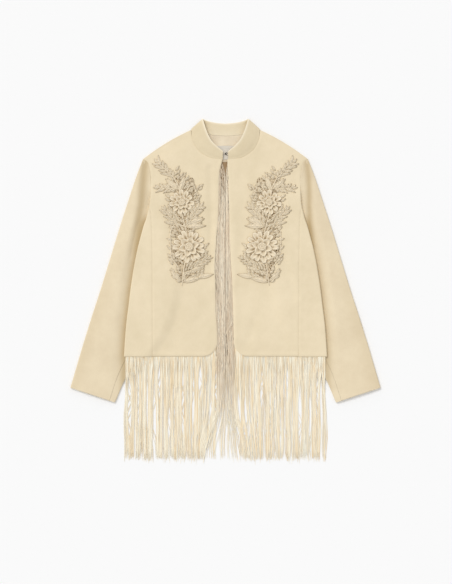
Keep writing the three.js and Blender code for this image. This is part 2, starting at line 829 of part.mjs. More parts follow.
function wire(points, steps) {
  const circle = new THREE.Shape();
  circle.absarc(0, 0, WIRE, 0, Math.PI * 2);
  return new THREE.ExtrudeGeometry(circle, {
    extrudePath: new THREE.CatmullRomCurve3(points),
    steps,
    curveSegments: 3,
    bevelEnabled: false,
  });
}

add(
  "hook",
  wire(
    HOOK_PATH.map((p) => new THREE.Vector3(p.x, CLOSURE_Y, p.z)),
    14,
  ),
  "wire",
);
add(
  "eye",
  wire(
    [
      new THREE.Vector3(EYE.reach, CLOSURE_Y - EYE.half, 6.2),
      new THREE.Vector3(4, CLOSURE_Y - EYE.half, EYE.z),
      new THREE.Vector3(0.2, CLOSURE_Y - EYE.half * 0.7, EYE.z),
      new THREE.Vector3(0.2, CLOSURE_Y + EYE.half * 0.7, EYE.z),
      new THREE.Vector3(4, CLOSURE_Y + EYE.half, EYE.z),
      new THREE.Vector3(EYE.reach, CLOSURE_Y + EYE.half, 6.2),
    ],
    16,
  ),
  "wire",
);

// Fringe: combs of thread locks, each a thin tape with three-sided strands growing from one edge
const STRAND_WIDTH = 1.4;
const STRAND_HEIGHT = 0.9;
const TAPE_DEPTH = 3;
const FRINGE_END_Y = -429.9;
const BACK_LAYER = 0.25; // strands of the back's fringe, above the surface
const FRONT_LAYER = 1.6; // strands of the fronts' fringe, above those
const OVER_SLEEVE = SLEEVE_UNDER_BODY + 0.35;

// A repeatable number from -1 to 1 for each strand
function scatter(index, kind) {
  const wave = Math.sin(index * 12.9898 + kind * 78.233) * 43758.5453;
  return (wave - Math.floor(wave)) * 2 - 1;
}

// A comb from a list of strands: root is the tape's lower edge there, rear its upper edge, and path the
// rest of the strand's places.
function comb(strands) {
  const triangles = [];
  const quad = (a, b, c, d) => triangles.push([a, b, c], [a, c, d]);
  const up = new THREE.Vector3(0, 0, STRAND_HEIGHT);
  const flat = (v) => new THREE.Vector3(v.x, v.y, 0).normalize();
  const ring = (place, across) => ({
    left: place.clone().addScaledVector(across, -STRAND_WIDTH / 2),
    right: place.clone().addScaledVector(across, STRAND_WIDTH / 2),
    top: place.clone().add(up),
  });
  const roots = strands.map((s, k) => {
    const before = strands[Math.max(0, k - 1)].root;
    const after = strands[Math.min(strands.length - 1, k + 1)].root;
    const along = flat(new THREE.Vector3().subVectors(after, before));
    const start = ring(s.root, along);
    triangles.push([start.right, start.left, s.rear]);
    let last = start;
    let side = along;
    s.path.forEach((place, i) => {
      const from = i === 0 ? s.root : s.path[i - 1];
      const to = s.path[i + 1] ?? place;
      const way = flat(new THREE.Vector3().subVectors(to, from));
      const across = new THREE.Vector3(-way.y, way.x, 0);
      if (across.dot(side) < 0) across.negate();
      side = across;
      const next = ring(place, across);
      quad(last.left, last.right, next.right, next.left);
      quad(last.right, last.top, next.top, next.right);
      quad(last.top, last.left, next.left, next.top);
      last = next;
    });
    triangles.push([last.left, last.right, last.top]);
    return { ...start, rear: s.rear, high: s.rear.clone().add(up) };
  });
  for (let k = 0; k + 1 < roots.length; k += 1) {
    const [a, b] = [roots[k], roots[k + 1]];
    quad(a.right, b.left, b.top, a.top);
    quad(b.left, a.right, a.rear, b.rear);
    quad(a.top, b.top, b.high, a.high);
    quad(a.high, b.high, b.rear, a.rear);
  }
  const [first, end] = [roots[0], roots[roots.length - 1]];
  quad(first.left, first.top, first.high, first.rear);
  quad(end.top, end.right, end.rear, end.high);
  return closed(triangles);
}

// Where a strand at x passes the sleeve's inner edge
const SLEEVE_BELOW = SLEEVE_INNER.filter((p) => p.y < -100);

function offSleeve(x) {
  return Math.min(-170, read(SLEEVE_BELOW, "x", x, "y"));
}

// The places of a hanging strand after its root, given the height of its layer on the surface and on a
// sleeve, and how soon it comes down.
function hang(root, index, layer, overSleeve, drop) {
  const side = Math.sign(root.x) || 1;
  const x = Math.abs(root.x);
  const clump = Math.round(x / 24) * 24;
  const shift = (share) => (clump - x) * 0.26 * share + 0.5 * scatter(index, 1);
  const end = FRINGE_END_Y + 9 * (1 + scatter(index, 2));
  const place = (along, y, z) => new THREE.Vector3(side * (x + along), y, z);
  if (x < 213)
    return [
      place(0, root.y - drop, layer),
      place(shift(1), end, layer - 0.05),
    ];
  const off = offSleeve(x);
  return [
    place(0, off - 8, overSleeve),
    place(0, off - 36, layer),
    place(shift(0.8), end, layer - 0.05),
  ];
}

// Back hem: the tape lies just below the cloth's edge
const BACK_STRANDS = 90;
const BACK_REACH = 249.5;
const underBack = heightOn(
  sidePanels.right.lowerUnder,
  back.under,
  sidePanels.left.lowerUnder,
);
const backStrands = [];
for (let k = 0; k < BACK_STRANDS; k += 1) {
  const x = mix(-BACK_REACH, BACK_REACH, k / (BACK_STRANDS - 1));
  const z = underBack(x, HEM_Y) + 0.2;
  const root = new THREE.Vector3(x, HEM_Y - SEAM - TAPE_DEPTH, z);
  const rear = new THREE.Vector3(x, HEM_Y - SEAM, z);
  backStrands.push({
    root,
    rear,
    path: hang(root, k, BACK_LAYER, OVER_SLEEVE, 44),
  });
}
add("fringe_hem_back", comb(backStrands), "thread");

// Front hems: the tape lies inside, under the corner's edge and along the hem
const CORNER_ROOTS = [12, 28, 44, 60, 76];
const HEM_STRANDS = 37;
const HEM_REACH = 247;
const TAPE_INSIDE = 1.5; // how far a tape's lower edge lies in from the cloth's edge

for (const { side, word } of SIDES) {
  const under = heightOn(fronts[word].under, sidePanels[word].upperUnder);
  const seat = (x, y) =>
    new THREE.Vector3(
      side * x,
      y,
      under(side * x, y) - SEAM - STRAND_HEIGHT,
    );
  const strands = [];
  const grow = (root, rear) =>
    strands.push({
      root,
      rear,
      path: hang(
        root,
        strands.length + 200,
        FRONT_LAYER,
        OVER_SLEEVE + 1.5,
        64,
      ),
    });
  for (const degrees of CORNER_ROOTS) {
    const near = cornerPoint(degrees, word, FRONT_CORNER - TAPE_INSIDE);
    const far = cornerPoint(
      degrees,
      word,
      FRONT_CORNER - TAPE_INSIDE - TAPE_DEPTH,
    );
    grow(seat(near.x, near.y), seat(far.x, far.y));
  }
  const from = cornerPoint(90, word).x;
  for (let k = 0; k < HEM_STRANDS; k += 1) {
    const x = mix(from, HEM_REACH, k / (HEM_STRANDS - 1));
    const y = HEM_Y + TAPE_INSIDE;
    grow(seat(x, y), seat(x, y + TAPE_DEPTH));
  }
  add(`fringe_hem_front_${word}`, comb(strands), "thread");
}

// Front edges: each strand crosses over those already hanging, into a lane of its own
const EDGE_TOP_Y = 317;
const EDGE_FRINGE = [
  { word: "right", strands: 20, spacing: 23, lanes: 11 },
  { word: "left", strands: 13, spacing: 36, lanes: 7 },
];
const LANE = 1.75; // from one lane to the next
const LANE_START = 1.3;
const EDGE_LENGTH = 236;
const CROSSING_LAYER = 3.6;
const LANE_LAYER = 2.35;

for (const { word, strands: count, spacing, lanes } of EDGE_FRINGE) {
  const { side } = SIDES.find((s) => s.word === word);
  const under = heightOn(fronts[word].under);
  const strands = [];
  for (let k = 0; k < count; k += 1) {
    const y = EDGE_TOP_Y - k * spacing;
    const x = frontEdge(y, word) + TAPE_INSIDE;
    const seat = (out) =>
      new THREE.Vector3(
        side * (x + out),
        y,
        under(side * (x + out), y) - SEAM - STRAND_HEIGHT,
      );
    const lane = LANE_START + LANE * (k % lanes);
    const end = y - EDGE_LENGTH - 6 * scatter(k, 3);
    const place = (px, py, pz) => new THREE.Vector3(side * px, py, pz);
    strands.push({
      root: seat(0),
      rear: seat(TAPE_DEPTH),
      path: [
        place(lane, y - 11, CROSSING_LAYER),
        place(lane, y - 19, LANE_LAYER),
        place(lane, end, LANE_LAYER - 0.1),
      ],
    });
  }
  add(`fringe_edge_${word}`, comb(strands), "thread");
}

// Applique: raised flower and leaf lace, one joined piece on each front. Places are distances from the
// centre line, the same on both sides.
const LACE_RIM = 0.9; // height of the lace at its edges
const FLOWERS = [
  { x: 112, y: 221, radius: 30, petals: 8, heart: 9, rise: 3.4 },
  { x: 93, y: 111, radius: 40, petals: 10, heart: 12, rise: 3.8 },
  { x: 83, y: 266, radius: 16, petals: 6, heart: 4.5, rise: 2.6 },
  { x: 116, y: 56, radius: 13, petals: 6, heart: 4, rise: 2.4 },
  { x: 73, y: 244, radius: 8, petals: 5, heart: 2.5, rise: 2 },
  { x: 137, y: 118, radius: 9, petals: 5, heart: 2.5, rise: 2 },
];
// Single leaves, from their stalk to their tip
const LEAVES = [
  { x: 114, y: 247, tipX: 101, tipY: 288, width: 12 },
  { x: 117, y: 253, tipX: 150, tipY: 279, width: 13 },
  { x: 100, y: 157, tipX: 56, tipY: 159, width: 12 },
  { x: 108, y: 22, tipX: 60, tipY: 33, width: 13 },
  { x: 72, y: 33, tipX: 29, tipY: 41, width: 12 },
  { x: 109, y: 22, tipX: 139, tipY: 52, width: 11 },
  { x: 124, y: 166, tipX: 153, tipY: 172, width: 9 },
  { x: 84, y: 51, tipX: 55, tipY: 60, width: 9 },
];
// Sprays of small leaves along a stalk
const SPRAYS = [
  { x: 128, y: 281, tipX: 177, tipY: 328, leaves: 9, length: 19 },
  { x: 116, y: 254, tipX: 176, tipY: 257, leaves: 7, length: 17 },
  { x: 123, y: 166, tipX: 158, tipY: 208, leaves: 7, length: 16 },
  { x: 99, y: 160, tipX: 57, tipY: 218, leaves: 7, length: 20 },
  { x: 84, y: 51, tipX: 37, tipY: 88, leaves: 7, length: 15 },
];
const STALKS = [
  [
    { x: 129, y: 282 },
    { x: 115, y: 253 },
    { x: 108, y: 188 },
    { x: 100, y: 158 },
    { x: 93, y: 111 },
    { x: 103, y: 60 },
    { x: 109, y: 14 },
  ],
  [
    { x: 100, y: 160 },
    { x: 124, y: 166 },
    { x: 138, y: 140 },
    { x: 136, y: 90 },
    { x: 116, y: 56 },
  ],
  [
    { x: 72, y: 243 },
    { x: 83, y: 266 },
    { x: 112, y: 221 },
  ],
  [
    { x: 106, y: 36 },
    { x: 83, y: 52 },
  ],
];
const STALK_WIDTH = 2.6;
const STALK_HEIGHT = 1.3;
const SEAT_REACH = 8; // the lace bridges small hollows in the cloth up to this far
const LACE_DETAIL = [0.2, 0.24, 0.28, 0.32, 0.36, 0.4]; // tolerances to try where its pieces are joined

function applique(side, word) {
  const cloth = heightOn(fronts[word].top);
  // The highest cloth around a place, so that no edge of the lace dips into it
  const seat = (x, y) => {
    let highest = cloth(side * x, y);
    for (let k = 0; k < 8; k += 1) {
      const a = (Math.PI * k) / 4;
      const px = x + SEAT_REACH * Math.cos(a);
      const py = y + SEAT_REACH * Math.sin(a);
      highest = Math.max(highest, cloth(side * px, py));
    }
    return highest + SEAM;
  };
  const place = (x, y, lift) =>
    new THREE.Vector3(side * x, y, seat(x, y) + lift);
  // A solid from an outline, its flat base, and the faces that make its top
  const raised = (outline, base, tops, rim) => {
    const triangles = [...tops, ...base];
    outline.forEach(([x, y], k) => {
      const [nx, ny] = outline[(k + 1) % outline.length];
      const [a, b] = [place(x, y, 0), place(nx, ny, 0)];
      const [c, d] = [place(nx, ny, rim), place(x, y, rim)];
      triangles.push([a, b, c], [a, c, d]);
    });
    return closed(triangles);
  };

  const leaf = (x, y, tipX, tipY, width, rise, stations) => {
    const [dx, dy] = [tipX - x, tipY - y];
    const length = Math.hypot(dx, dy);
    const at = (along, out) => [
      x + dx * along - (dy / length) * out,
      y + dy * along + (dx / length) * out,
    ];
    const spine = stations.map((s) => at(s.along, 0));
    const right = stations.map((s) => at(s.along, -width * s.half));
    const left = stations.map((s) => at(s.along, width * s.half));
    const outline = [at(0, 0), ...right, at(1, 0), ...left.reverse()];
    left.reverse();
    const low = (p) => place(...p, 0);
    const rim = (p) => place(...p, LACE_RIM);
    const top = (p) => place(...p, rise);
    const n = stations.length - 1;
    const [start, end] = [at(0, 0), at(1, 0)];
    const base = [
      [low(start), low(left[0]), low(right[0])],
      [low(left[n]), low(end), low(right[n])],
    ];
    const tops = [
      [rim(start), rim(right[0]), top(spine[0])],
      [rim(start), top(spine[0]), rim(left[0])],
      [rim(right[n]), rim(end), top(spine[n])],
      [top(spine[n]), rim(end), rim(left[n])],
    ];
    for (let k = 0; k < n; k += 1) {
      base.push([low(left[k]), low(left[k + 1]), low(right[k + 1])]);
      base.push([low(left[k]), low(right[k + 1]), low(right[k])]);
      tops.push([rim(right[k]), rim(right[k + 1]), top(spine[k + 1])]);
      tops.push([rim(right[k]), top(spine[k + 1]), top(spine[k])]);
      tops.push([top(spine[k]), top(spine[k + 1]), rim(left[k + 1])]);
      tops.push([top(spine[k]), rim(left[k + 1]), rim(left[k])]);
    }
    return raised(outline, base, tops, LACE_RIM);
  };

  const flower = (f) => {
    const step = (Math.PI * 2) / f.petals;
    const at = (turns, radius) => [
      f.x + radius * Math.cos(turns * step + 0.35),
      f.y + radius * Math.sin(turns * step + 0.35),
    ];
    const low = (p) => place(...p, 0);
    const rim = (p) => place(...p, LACE_RIM);
    const middle = [f.x, f.y];
    const outline = [];
    const base = [];
    const tops = [];
    for (let k = 0; k < f.petals; k += 1) {
      const a = at(k - 0.24, f.radius);
      const b = at(k + 0.24, f.radius);
      const cleft = at(k + 0.5, f.radius * 0.56);
      const next = at(k + 0.76, f.radius);
      const petal = place(...at(k, f.radius * 0.7), f.rise);
      const nextPetal = place(...at(k + 1, f.radius * 0.7), f.rise);
      const heart = place(...at(k + 0.5, f.heart), f.rise * 0.55);
      const heartBefore = place(...at(k - 0.5, f.heart), f.rise * 0.55);
      const knob = place(...middle, f.rise * 1.1);
      outline.push(a, b, cleft);
      base.push([low(middle), low(b), low(a)]);
      base.push([low(middle), low(cleft), low(b)]);
      base.push([low(middle), low(next), low(cleft)]);
      tops.push([rim(a), rim(b), petal]);
      tops.push([rim(b), rim(cleft), petal]);
      tops.push([rim(cleft), rim(next), nextPetal]);
      tops.push([petal, rim(cleft), heart]);
      tops.push([rim(cleft), nextPetal, heart]);
      tops.push([petal, heart, heartBefore]);
      tops.push([heartBefore, heart, knob]);
    }
    return raised(outline, base, tops, LACE_RIM);
  };

  const stalk = (points) => {
    const rows = points.map((p, k) => {
      const before = points[Math.max(0, k - 1)];
      const after = points[Math.min(points.length - 1, k + 1)];
      const [dx, dy] = [after.x - before.x, after.y - before.y];
      const half = STALK_WIDTH / 2 / Math.hypot(dx, dy);
      return [
        [p.x - dy * half, p.y + dx * half],
        [p.x + dy * half, p.y - dx * half],
      ];
    });
    const grid = (lift) =>
      rows.map((row) => row.map(([x, y]) => place(x, y, lift)));
    return wall(grid(STALK_HEIGHT), grid(0));
  };

  const SMALL_LEAF = [{ along: 0.45, half: 0.5 }];
  const LARGE_LEAF = [
    { along: 0.28, half: 0.42 },
    { along: 0.66, half: 0.46 },
  ];
  const spray = (s) => {
    const [dx, dy] = [s.tipX - s.x, s.tipY - s.y];
    const turn = Math.atan2(dy, dx);
    const pieces = [stalk([s, { x: s.x + dx * 0.86, y: s.y + dy * 0.86 }])];
    for (let k = 0; k < s.leaves; k += 1) {
      const last = k === s.leaves - 1;
      const share = last ? 0.8 : 0.16 + (0.68 * k) / (s.leaves - 1);
      const way = turn + (last ? 0 : (k % 2 === 0 ? 1 : -1) * 0.85);
      const [x, y] = [s.x + dx * share, s.y + dy * share];
      const reach = last ? Math.hypot(dx, dy) * 0.2 : s.length;
      pieces.push(
        leaf(
          x,
          y,
          x + reach * Math.cos(way),
          y + reach * Math.sin(way),
          s.length * 0.36,
          2,
          SMALL_LEAF,
        ),
      );
    }
    return pieces;
  };

  const pieces = [
    ...FLOWERS.map(flower),
    ...LEAVES.map((l) =>
      leaf(l.x, l.y, l.tipX, l.tipY, l.width, 2.3, LARGE_LEAF),
    ),
    ...STALKS.map(stalk),
    ...SPRAYS.flatMap(spray),
  ];
  return joined(pieces, LACE_DETAIL);
}

for (const { side, word } of SIDES)
  add(`applique_${word}`, applique(side, word), "lace");

export default jacket;
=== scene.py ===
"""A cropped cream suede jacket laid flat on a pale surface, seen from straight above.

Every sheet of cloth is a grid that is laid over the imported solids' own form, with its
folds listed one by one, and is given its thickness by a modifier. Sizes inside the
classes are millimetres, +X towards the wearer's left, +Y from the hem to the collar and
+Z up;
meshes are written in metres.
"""

import json
import logging
import math
import random
from bisect import bisect_right
from collections.abc import Callable, Sequence
from dataclasses import dataclass, field
from enum import Enum

import bmesh
import bpy
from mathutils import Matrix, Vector, noise

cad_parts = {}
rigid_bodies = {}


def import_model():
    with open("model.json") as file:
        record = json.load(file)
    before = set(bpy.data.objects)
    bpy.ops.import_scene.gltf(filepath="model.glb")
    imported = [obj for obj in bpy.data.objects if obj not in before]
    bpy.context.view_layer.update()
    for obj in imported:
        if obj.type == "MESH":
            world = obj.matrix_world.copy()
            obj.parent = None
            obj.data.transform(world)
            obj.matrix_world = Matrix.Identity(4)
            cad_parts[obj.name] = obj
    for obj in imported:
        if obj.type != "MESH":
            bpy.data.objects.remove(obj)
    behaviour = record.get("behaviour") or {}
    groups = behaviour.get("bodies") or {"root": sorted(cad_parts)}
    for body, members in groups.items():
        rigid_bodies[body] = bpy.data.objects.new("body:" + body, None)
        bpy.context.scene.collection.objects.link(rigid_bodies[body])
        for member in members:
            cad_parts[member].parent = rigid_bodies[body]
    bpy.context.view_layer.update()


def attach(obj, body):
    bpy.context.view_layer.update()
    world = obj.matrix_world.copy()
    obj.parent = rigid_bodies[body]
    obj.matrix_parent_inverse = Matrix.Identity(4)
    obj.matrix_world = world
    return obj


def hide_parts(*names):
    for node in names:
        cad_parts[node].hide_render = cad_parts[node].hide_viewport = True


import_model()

LOG = logging.getLogger("jacket")
MM = 0.001
ROOT = "root"
Spot = tuple[float, float, float, float]
Colour = tuple[float, float, float]
Place = tuple[float, float]


class Side(Enum):
    """The wearer's two sides, with the sign of their X."""

    RIGHT = -1
    LEFT = 1

    @property
    def word(self) -> str:
        """The side's name in the solids' names."""
        return self.name.lower()


def smooth(t: float) -> float:
    """Go from 0 to 1 with no kink at either end."""
    c = min(1.0, max(0.0, t))
    return c * c * (3 - 2 * c)


def mix(a: float, b: float, t: float) -> float:
    """Go from a to b in a straight line."""
    return a + (b - a) * t


def ridge(distance: float, width: float) -> float:
    """Give the height of a soft ridge of height 1 at a distance from its crest."""
    return math.exp(-((distance / width) ** 2))


def ripple(x: float, y: float, size: float, kind: float = 0.0) -> float:
    """Give unevenness from about -1 to 1, with waves of a size in millimetres."""
    return noise.noise(Vector((x / size, y / size, kind)))


def distance_to(x: float, y: float, line: Sequence[Place]) -> float:
    """Measure how far a place in plan is from a line of several points.

    Args:
        x: The place's x.
        y: The place's y.
        line: The line's points in order.

    Returns:
        The distance in millimetres.
    """
    best = math.inf
    for (ax, ay), (bx, by) in zip(line, line[1:]):
        dx, dy = bx - ax, by - ay
        t = ((x - ax) * dx + (y - ay) * dy) / (dx * dx + dy * dy)
        t = min(1.0, max(0.0, t))
        best = min(best, math.hypot(x - ax - t * dx, y - ay - t * dy))
    return best


class Table:
    """Values at a few keys, read on a smooth curve that never overshoots them."""

    def __init__(self, keys: Sequence[float], values: Sequence[float]) -> None:
        """Keep the keys in rising order, with a slope at each.

        Args:
            keys: Rising or falling keys.
            values: The value at each key.
        """
        pairs = sorted(zip(keys, values))
        self.keys = [k for k, _ in pairs]
        self.values = [v for _, v in pairs]
        steps = [(v1 - v0) / (k1 - k0) for (k0, v0), (k1, v1) in zip(pairs, pairs[1:])]
        self.slopes = [steps[0]]
        for before, after in zip(steps, steps[1:]):
            meet = 0.0 if before * after <= 0 else 2 * before * after / (before + after)
            self.slopes.append(meet)
        self.slopes.append(steps[-1])

    def at(self, key: float) -> float:
        """Read the value at a key, held at the ends."""
        key = min(self.keys[-1], max(self.keys[0], key))
        k = min(len(self.keys) - 2, max(0, bisect_right(self.keys, key) - 1))
        span = self.keys[k + 1] - self.keys[k]
        t = (key - self.keys[k]) / span
        a, b = self.values[k], self.values[k + 1]
        rise = self.slopes[k] * span
        fall = self.slopes[k + 1] * span
        return (
            a * (1 + 2 * t) * (1 - t) ** 2
            + rise * t * (1 - t) ** 2
            + b * t * t * (3 - 2 * t)
            + fall * t * t * (t - 1)
        )


def numbered(points: Sequence[Sequence[float]]) -> list[Table]:
    """Make a table for each coordinate of points, read at their numbers in order."""
    return [Table(range(len(points)), column) for column in zip(*points)]


def by_height(rows: Sequence[Sequence[float]]) -> list[Table]:
    """Make tables of the rows' later values, read at the height that starts each."""
    heights, *columns = zip(*rows)
    return [Table(heights, column) for column in columns]


def x_at_y(points: Sequence[Place]) -> Table:
    """Make a table of points' x, read at their y."""
    return Table([y for _, y in points], [x for x, _ in points])


class Line:
    """A smooth line in plan through a few points, travelled by share of its length."""

    def __init__(self, points: Sequence[Place]) -> None:
        """Measure the line along its points."""
        along = [0.0]
        for (ax, ay), (bx, by) in zip(points, points[1:]):
            along.append(along[-1] + math.hypot(bx - ax, by - ay))
        self.length = along[-1]
        self.x = Table(along, [p[0] for p in points])
        self.y = Table(along, [p[1] for p in points])

    def at(self, share: float) -> Place:
        """Give the place at a share of the way along."""
        return self.x.at(share * self.length), self.y.at(share * self.length)


# Sizes of the cut and the lay, shared by the pieces: the cloth's thickness, how far
# apart what is sewn on lies, how far a panel stays short of its seam, and the hem
CLOTH = 2.0
SEAM = 0.3
JOIN = 0.06
HEM_Y = -164.0
# Lines in plan, as distance from the middle and height
ARMHOLE = (
    (206, 328.5), (195.5, 322), (190, 306), (187.8, 288), (187, 266), (187, 244),
    (187.8, 224), (190, 207),
)
ARMHOLE_HIDDEN = ((184, 196), (170, 190))
SLEEVE_OUTER = (
    (206, 328.5), (221, 290), (242, 227), (264, 159), (287, 84), (310, 9), (335, -68),
    (358, -142), (380, -217), (387.5, -242),
)
SLEEVE_INNER = (
    (170, 190), (155, 130), (144, 70), (143, 15), (154, -45), (181, -108), (217, -166),
    (252, -224), (276, -279),
)
# Side panel: y, its seam to the front and back, and the edge where it folds
SIDE = (
    (206, 189.7, 191.2), (196, 186.8, 194), (180, 185.5, 198), (163, 184.6, 204),
    (136, 183.9, 211.5), (105, 183.4, 219.5), (60, 183, 228.5), (5, 182.8, 237),
    (-40, 182.6, 242.5), (-80, 182.4, 247.5), (-122, 182.2, 251), (-164, 182, 253.5),
)
# Front edges: y, and the distance from the middle to the right and the left edge
FRONT_EDGE = (
    (327, 8, 4.5), (295, 15.5, 6.5), (262, 17, 8), (228, 17.5, 9), (190, 18.5, 10),
    (150, 21.5, 10.5), (105, 24.5, 12), (60, 27, 14.5), (10, 25, 17.5), (-40, 25, 19),
    (-85, 22, 20), (-126, 20.5, 20.5),
)
FRONT_TOP = FRONT_EDGE[0][0]
NECKLINE = ((86.5, 401.5), (83.5, 380), (74.5, 359), (58.5, 343), (36.5, 332), (8, 327))
# The front's outer end: down the armhole, then down the side panel's seam
FRONT_OUTER = (
    *ARMHOLE,
    *((seam, y) for y, seam, _ in SIDE[1:-1]),
    (182.1, -145),
    (182, HEM_Y),
)
# The fronts' rounded lower corners: their radius, and where they start
CORNER = 38.0
CORNER_Y = HEM_Y + CORNER
# The shoulder seam, how far it bows out, and how far off it the layers lie full
SHOULDER = ((86.5, 402), (206, 330))
SHOULDER_BOW = 16.0
SHOULDER_RISE = 34.0


@dataclass(frozen=True)
class Fold:
    """A soft fold of the fronts along a line in plan, positive up and negative down."""

    side: Side
    line: tuple[Place, ...]
    width: float
    rise: float


@dataclass
class Lay:
    """Where the layers of the jacket lie: plan lines, and heights off the surface."""

    sleeve_lift: float = 5.8
    under_body: float = 5.0
    margin: float = 11
    ramp: float = 32
    lift_end_y: float = 228
    lift_gone_y: float = 274
    folds: tuple[Fold, ...] = (
        Fold(Side.RIGHT, ((38, 305), (36, 180), (34, 60)), 9, -2.0),
        Fold(Side.RIGHT, ((50, 300), (52, 60)), 16, 0.9),
        Fold(Side.RIGHT, ((25, 150), (28, 60), (26, 5)), 8, 3.0),
        Fold(Side.RIGHT, ((120, -20), (134, -158)), 18, -1.1),
        Fold(Side.RIGHT, ((150, 190), (166, 60), (170, -60)), 16, 0.8),
        Fold(Side.LEFT, ((144, 84), (172, -12)), 12, -1.9),
        Fold(Side.LEFT, ((160, 100), (186, -20)), 12, 0.9),
        Fold(Side.LEFT, ((76, -66), (44, -164)), 13, -1.7),
        Fold(Side.LEFT, ((20, 210), (28, -120)), 8, 1.2),
        Fold(Side.LEFT, ((40, 290), (44, 120)), 12, -0.9),
    )
    inner_edge: Table = field(init=False)
    side_edge: Table = field(init=False)
    side_seam: Table = field(init=False)
    armhole: Table = field(init=False)
    edges: dict[Side, Table] = field(init=False)

    def __post_init__(self) -> None:
        """Make the curves from the tables of points."""
        self.inner_edge = x_at_y(SLEEVE_INNER)
        self.armhole = x_at_y(ARMHOLE)
        self.side_seam, self.side_edge = by_height(SIDE)
        self.edges = dict(zip(Side, by_height(FRONT_EDGE)))

    def on_sleeve(self, x: float, y: float) -> float:
        """Say how fully the body lies on a sleeve at a place, from 0 to 1."""
        past = self.inner_edge.at(y) - self.margin - x
        gone = smooth((y - self.lift_end_y) / (self.lift_gone_y - self.lift_end_y))
        return smooth(1 - past / self.ramp) * (1 - gone)

    def back_under(self, x: float, y: float) -> float:
        """Give the height of the back's underside."""
        return self.sleeve_lift * self.on_sleeve(abs(x), y)

    def front_under(self, x: float, y: float, side: Side) -> float:
        """Give the height of a front's underside, folds and cockles in it.

        Args:
            x: Distance from the middle.
            y: Height in plan.
            side: Which front.

        Returns:
            The height in millimetres.
        """
        on = self.on_sleeve(x, y)
        low = mix(mix(5.2, 10.6, on), mix(5.8, 10.8, on), smooth((y - HEM_Y) / 46))
        rise = smooth(distance_to(x, y, SHOULDER) / SHOULDER_RISE)
        clear = smooth((y - HEM_Y) / 40) * rise
        height = mix(2.3, low, rise)
        for fold in self.folds:
            if fold.side is side:
                crest = ridge(distance_to(x, y, fold.line), fold.width)
                height += fold.rise * crest * clear
        seat = side.value * 7.3
        soft = 0.55 * ripple(x, y, 62, seat) + 0.2 * ripple(x, y, 21, seat + 3)
        return height + soft * clear * 0.9

    def body_edge(self, y: float) -> float:
        """Give the distance from the middle to the body's outline."""
        if y > ARMHOLE[-1][1]:
            return self.armhole.at(y)
        return self.side_edge.at(y)

    def corner(self, degrees: float, side: Side, radius: float = CORNER) -> Place:
        """Give a place on a front's corner, 0 on the front edge and 90 on the hem."""
        turn = math.radians(degrees)
        middle = self.edges[side].at(CORNER_Y) + CORNER
        return middle - radius * math.cos(turn), CORNER_Y - radius * math.sin(turn)


LAY = Lay()


def shoulder_bow(s: float, t: float) -> Place:
    """Give the shoulder seam's bow at a share t along it, gone at section s = 1."""
    bow = SHOULDER_BOW * t * (1 - t) * max(0.0, 1 - s)
    return bow * 0.52, bow * 0.85


class Value:
    """A number in a material's nodes, whose arithmetic adds the Math nodes."""

    def __init__(self, dye: "Dye", socket: bpy.types.NodeSocket) -> None:
        """Keep the socket with the material that it is in."""
        self.dye = dye
        self.socket = socket

    def _math(self, operation: str, *values: "Value | float") -> "Value":
        """Add one Math node on the values given."""
        sockets = dict(enumerate(values))
        return self.dye.node("ShaderNodeMath", {"operation": operation}, sockets)

    def __add__(self, other: "Value | float") -> "Value":
        """Add."""
        return self._math("ADD", self, other)

    __radd__ = __add__

    def __sub__(self, other: "Value | float") -> "Value":
        """Take away."""
        return self._math("SUBTRACT", self, other)

    def __rsub__(self, other: "Value | float") -> "Value":
        """Take away from a number."""
        return self._math("SUBTRACT", other, self)

    def __mul__(self, other: "Value | float") -> "Value":
        """Multiply."""
        return self._math("MULTIPLY", self, other)

    __rmul__ = __mul__

    def __truediv__(self, other: "Value | float") -> "Value":
        """Divide."""
        return self._math("DIVIDE", self, other)

    def __pow__(self, other: "Value | float") -> "Value":
        """Raise to a power."""
        return self._math("POWER", self, other)

    def sine(self) -> "Value":
        """Take the sine."""
        return self._math("SINE", self)

    def within(self) -> "Value":
        """Hold between 0 and 1."""
        return self._math("MINIMUM", self._math("MAXIMUM", self, 0.0), 1.0)


